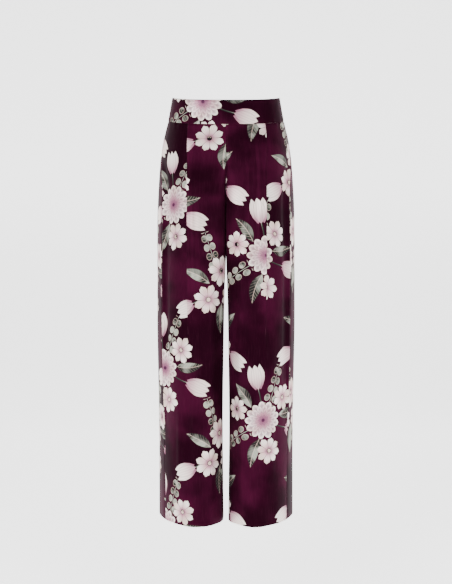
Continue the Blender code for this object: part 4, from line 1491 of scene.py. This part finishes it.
# ---- Stitches and coils ---------------------------------------------------------------------
@dataclass(frozen=True)
class RepeatTree:
    """A Geometry Nodes tree that sets a small bar at equal steps along a line.

    Args:
        name: the tree's name.
    """

    name: str = "bars_along_line"

    def build(self) -> tuple[bpy.types.NodeTree, dict[str, str]]:
        """Makes the tree.

        Returns:
            The tree, and the identifiers of its named inputs.
        """
        tree = bpy.data.node_groups.new(self.name, "GeometryNodeTree")
        graph = Graph(tree)
        face = tree.interface
        face.new_socket(name="Line", in_out="INPUT", socket_type="NodeSocketGeometry")
        names = {}
        for label, kind in (("Step", "NodeSocketFloat"), ("Length", "NodeSocketFloat"),
                            ("Thickness", "NodeSocketFloat"), ("Turn", "NodeSocketVector"),
                            ("Finish", "NodeSocketMaterial")):
            names[label] = face.new_socket(name=label, in_out="INPUT", socket_type=kind).identifier
        face.new_socket(name="Bars", in_out="OUTPUT", socket_type="NodeSocketGeometry")
        given = graph.node("NodeGroupInput").outputs
        curve = graph.node("GeometryNodeMeshToCurve", {"Mesh": given["Line"]})
        even = graph.node("GeometryNodeResampleCurve", {"Curve": curve.outputs[0], "Length": given["Step"]},
                          mode="LENGTH")
        bar = graph.node("GeometryNodeMeshUVSphere", {"Segments": 8, "Rings": 5, "Radius": 0.5})
        size = graph.node("ShaderNodeCombineXYZ", {0: given["Thickness"], 1: given["Thickness"],
                                                   2: given["Length"]})
        scaled = graph.node("GeometryNodeTransform", {"Geometry": bar.outputs[0], "Scale": size.outputs[0]})
        turned = graph.node("GeometryNodeTransform", {"Geometry": scaled.outputs[0],
                                                      "Rotation": given["Turn"]})
        tangent = graph.node("GeometryNodeInputTangent")
        aligned = graph.node("FunctionNodeAlignRotationToVector", {"Vector": tangent.outputs[0]}, axis="Z")
        placed = graph.node("GeometryNodeInstanceOnPoints", {
            "Points": even.outputs[0], "Instance": turned.outputs[0], "Rotation": aligned.outputs[0]})
        real = graph.node("GeometryNodeRealizeInstances", {"Geometry": placed.outputs[0]})
        soft = graph.node("GeometryNodeSetShadeSmooth", {"Geometry": real.outputs[0]})
        dressed = graph.node("GeometryNodeSetMaterial", {"Geometry": soft.outputs[0],
                                                         "Material": given["Finish"]})
        graph.node("NodeGroupOutput", {0: dressed.outputs[0]})
        return tree, names


@dataclass
class BarRow:
    """Stitches or zip coils along lines, made a plain mesh on one body.

    Args:
        name: the piece's name.
        lines: each a list of points.
        step: distance from bar to bar.
        length: of a bar.
        thickness: of a bar.
        turn: turn of a bar from the line's direction, in radians.
        slot: the record's material slot; not used.
    """

    name: str
    lines: list[np.ndarray]
    step: float
    length: float
    thickness: float
    turn: tuple[float, float, float]
    slot: str

    def build(self, tree: bpy.types.NodeTree, names: dict[str, str],
              finish: bpy.types.Material) -> bpy.types.Object:
        """Runs the tree on the lines and keeps its result.

        Args:
            tree: the repeat tree.
            names: the identifiers of its inputs.
            finish: the bars' material.

        Returns:
            The finished piece.
        """
        line = bpy.data.meshes.new(self.name + "_line")
        points, edges = [], []
        for run in self.lines:
            edges += [(len(points) + i, len(points) + i + 1) for i in range(len(run) - 1)]
            points += run.tolist()
        line.from_pydata(points, edges, [])
        item = bpy.data.objects.new(self.name, line)
        bpy.context.scene.collection.objects.link(item)
        step = item.modifiers.new("bars", "NODES")
        step.node_group = tree
        for label, content in (("Step", self.step), ("Length", self.length),
                               ("Thickness", self.thickness), ("Turn", self.turn), ("Finish", finish)):
            step[names[label]] = content
        seen = item.evaluated_get(bpy.context.evaluated_depsgraph_get())
        mesh = bpy.data.meshes.new_from_object(seen)
        item.modifiers.clear()
        item.data = mesh
        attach(item, BODY)
        LOG.info("%s: %d faces", item.name, len(mesh.polygons))
        return item


# ---- Zip ------------------------------------------------------------------------------------
@dataclass
class ConcealedZip:
    """The concealed zip in the centre-back seam: tape, coil, slider and pull.

    Args:
        rows: rows of the tape's grid.
        columns: its columns.
        wall: the tape's thickness.
        bevel: how far the slider's and pull's edges are rounded.
    """

    rows: int = 90
    columns: int = 13
    wall: float = 0.0005
    bevel: float = 0.00018
    tape: np.ndarray = field(init=False, default_factory=lambda: np.zeros(0))

    def build_tape(self, finish: bpy.types.Material) -> bpy.types.Object:
        """The tape, its edges lying a little lower than its middle."""
        points = []
        top_z = BAND_TOP_Z - 0.002
        across = np.linspace(-TAPE_HALF_WIDTH, TAPE_HALF_WIDTH, self.columns)
        for z in np.linspace(top_z, ZIP_END_Z, self.rows):
            outline = Outline(Face.BACK, float(z))
            behind = outline.at(np.array([0.0, TAPE_HALF_WIDTH / 2, TAPE_HALF_WIDTH]))[:, 1].min()
            y = behind - BAND_WALL - SEAM_GAP - 0.0003 * (np.abs(across) / TAPE_HALF_WIDTH) ** 2
            y = y + 0.00012 * np.sin(z * 700.0) * (np.abs(across) > 0.008)
            lift = waist_rise(z, y)
            points.append(np.column_stack([across, y, z + lift]))
        self.tape = np.array(points)
        facing = np.broadcast_to(np.array([0.0, 1.0, 0.0]), self.tape.shape)
        wall = np.full(self.tape.shape[:2], self.wall)
        shell = Shell("zip_tape_cloth", self.tape, wall, self.tape[..., ::2].copy(), facing)
        item = shell.build((finish, finish))
        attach(item, BODY)
        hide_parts("zip_tape")
        return item

    def coil_line(self) -> np.ndarray:
        """The coil's path up the tape's inner face."""
        middle = self.tape[::-1, self.columns // 2]
        return (middle - np.array([0.0, self.wall + 0.0005, 0.0]))[2:-12]

    def stitch_lines(self) -> list[np.ndarray]:
        """Two lines of stitches that hold the tape."""
        inside = np.array([0.0, -(self.wall + 0.0001), 0.0])
        return [self.tape[::-1, c] + inside for c in (3, self.columns - 4)]

    def build_hardware(self, finish: bpy.types.Material) -> list[bpy.types.Object]:
        """The slider and its pull, with softened edges, each on its own body."""
        items = []
        for node, body in (("zip_slider", BODY), ("zip_pull", PULL_BODY)):
            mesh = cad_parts[node].data.copy()
            shape = bmesh.new()
            shape.from_mesh(mesh)
            bmesh.ops.remove_doubles(shape, verts=shape.verts, dist=1e-6)
            bmesh.ops.dissolve_limit(shape, angle_limit=math.radians(1.0), verts=shape.verts,
                                     edges=shape.edges)
            shape.to_mesh(mesh)
            shape.free()
            mesh.materials.clear()
            mesh.materials.append(finish)
            item = bpy.data.objects.new(node + "_enamelled", mesh)
            bpy.context.scene.collection.objects.link(item)
            edge = item.modifiers.new("softened", "BEVEL")
            edge.width = self.bevel
            edge.segments = 2
            edge.limit_method = "ANGLE"
            edge.angle_limit = math.radians(35)
            seen = item.evaluated_get(bpy.context.evaluated_depsgraph_get())
            finished = bpy.data.meshes.new_from_object(seen)
            item.modifiers.clear()
            item.data = finished
            finished.shade_smooth()
            finished.set_sharp_from_angle(angle=math.radians(40))
            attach(item, body)
            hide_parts(node)
            items.append(item)
        return items


# ---- Studio ---------------------------------------------------------------------------------
@dataclass(frozen=True)
class Softbox:
    """A square studio light that faces a point.

    Args:
        name: the light's name.
        place: where it stands.
        target: what it faces.
        size: width and height.
        power: in watts.
    """

    name: str
    place: tuple[float, float, float]
    target: tuple[float, float, float]
    size: tuple[float, float]
    power: float

    def build(self) -> None:
        """Adds the light."""
        lamp = bpy.data.lights.new(self.name, "AREA")
        lamp.shape = "RECTANGLE"
        lamp.size, lamp.size_y = self.size
        lamp.energy = self.power
        item = bpy.data.objects.new(self.name, lamp)
        bpy.context.scene.collection.objects.link(item)
        item.location = self.place
        aim = Vector(self.target) - Vector(self.place)
        item.rotation_euler = aim.to_track_quat("-Z", "Y").to_euler()


@dataclass
class Studio:
    """Pale seamless paper, soft lights and the camera.

    Args:
        drop: how far the floor lies below the hems.
        focal: the camera's focal length, in millimetres, on a 36 mm sensor.
        pitch: how far it looks down, in degrees.
        place: where it stands.
        softboxes: the lights.
    """

    drop: float = 0.30
    focal: float = 64.11
    pitch: float = 5.05
    place: tuple[float, float, float] = (0.0, -2.6, -0.2247)
    softboxes: tuple[Softbox, ...] = (
        Softbox("key", (-1.5, -2.2, 0.5), (0.0, 0.0, -0.45), (1.3, 2.0), 74.0),
        Softbox("fill", (1.7, -2.0, 0.1), (0.0, 0.0, -0.55), (1.3, 2.0), 46.0),
        Softbox("edge_left", (-1.6, 0.35, -0.3), (0.0, 0.0, -0.5), (0.5, 1.9), 12.0),
        Softbox("edge_right", (1.6, 0.35, -0.3), (0.0, 0.0, -0.5), (0.5, 1.9), 12.0),
        Softbox("back", (0.0, 2.3, 0.9), (0.0, 0.0, -0.5), (2.0, 1.2), 10.0),
    )

    def build_paper(self, finish: bpy.types.Material) -> None:
        """The floor and backdrop, one sheet with a wide curve between them."""
        floor = HEM_Z - self.drop
        bend, back, front, half = 1.2, 3.4, -6.0, 6.0
        profile = [(front, floor), (back - bend, floor)]
        for i in range(1, 17):
            angle = math.pi / 2 * i / 16
            profile.append((back - bend + bend * math.sin(angle), floor + bend * (1 - math.cos(angle))))
        profile.append((back, floor + 6.0))
        points = [(x, y, z) for y, z in profile for x in (-half, half)]
        faces = [(2 * i, 2 * i + 1, 2 * i + 3, 2 * i + 2) for i in range(len(profile) - 1)]
        mesh = bpy.data.meshes.new("paper_sweep")
        mesh.from_pydata(points, [], faces)
        mesh.shade_smooth()
        mesh.materials.append(finish)
        item = bpy.data.objects.new("paper_sweep", mesh)
        bpy.context.scene.collection.objects.link(item)

    def build(self, finish: bpy.types.Material) -> None:
        """Adds the paper, the lights, the sky and the camera."""
        self.build_paper(finish)
        for softbox in self.softboxes:
            softbox.build()
        world = bpy.data.worlds.new("studio_air")
        world.use_nodes = True
        world.node_tree.nodes["Background"].inputs[0].default_value = (1.0, 1.0, 1.0, 1.0)
        world.node_tree.nodes["Background"].inputs[1].default_value = 0.36
        bpy.context.scene.world = world
        lens = bpy.data.cameras.new("camera")
        lens.lens = self.focal
        camera = bpy.data.objects.new("camera", lens)
        bpy.context.scene.collection.objects.link(camera)
        camera.location = self.place
        camera.rotation_euler = (math.radians(90 - self.pitch), 0.0, 0.0)
        bpy.context.scene.camera = camera


# ---- Assembly -------------------------------------------------------------------------------
def main() -> None:
    """Builds every piece in order."""
    logging.basicConfig(level=logging.INFO, format="%(message)s")
    floral = FloralPrint()
    right_side = Satin("satin_print", floral, 0.0, linear("7a4058"), 0.36, 0.02).build()
    reverse = Satin("satin_reverse", floral, 0.45, linear("5d3345"), 0.62, 0.01).build()
    thread = Thread().build()
    enamel = Enamel().build()
    tape = WovenTape().build()
    panels = [
        LegPanel(Face.FRONT, Side.LEFT, (0.060, 0.030)),
        LegPanel(Face.FRONT, Side.RIGHT, (0.190, 0.310)),
        LegPanel(Face.BACK, Side.LEFT, (0.120, 0.220)),
        LegPanel(Face.BACK, Side.RIGHT, (0.280, 0.090)),
    ]
    for panel in panels:
        panel.build((right_side, reverse))
    band = Waistband()
    band.build((right_side, reverse))
    zip_part = ConcealedZip()
    zip_part.build_tape(tape)
    zip_part.build_hardware(enamel)
    tree, names = RepeatTree().build()
    rows = [
        (BarRow("zip_coil", [zip_part.coil_line()], 0.0013, 0.0042, 0.0008,
                (0.0, math.pi / 2, 0.0), "zip_tape"), tape),
        (BarRow("zip_stitches", zip_part.stitch_lines(), 0.0030, 0.0024, 0.00030,
                (0.0, 0.0, 0.0), "satin_print"), thread),
        (BarRow("band_understitching", [band.facing_line], 0.0032, 0.0026, 0.00030,
                (0.0, 0.0, 0.0), "satin_print"), thread),
        (BarRow("hem_stitches", [panel.inner_hem for panel in panels], 0.0080, 0.0030, 0.00030,
                (0.35, 0.0, 0.0), "satin_print"), thread),
    ]
    for row, finish in rows:
        row.build(tree, names, finish)
    Studio().build(Paper().build())


if __name__ == "__main__":
    main()
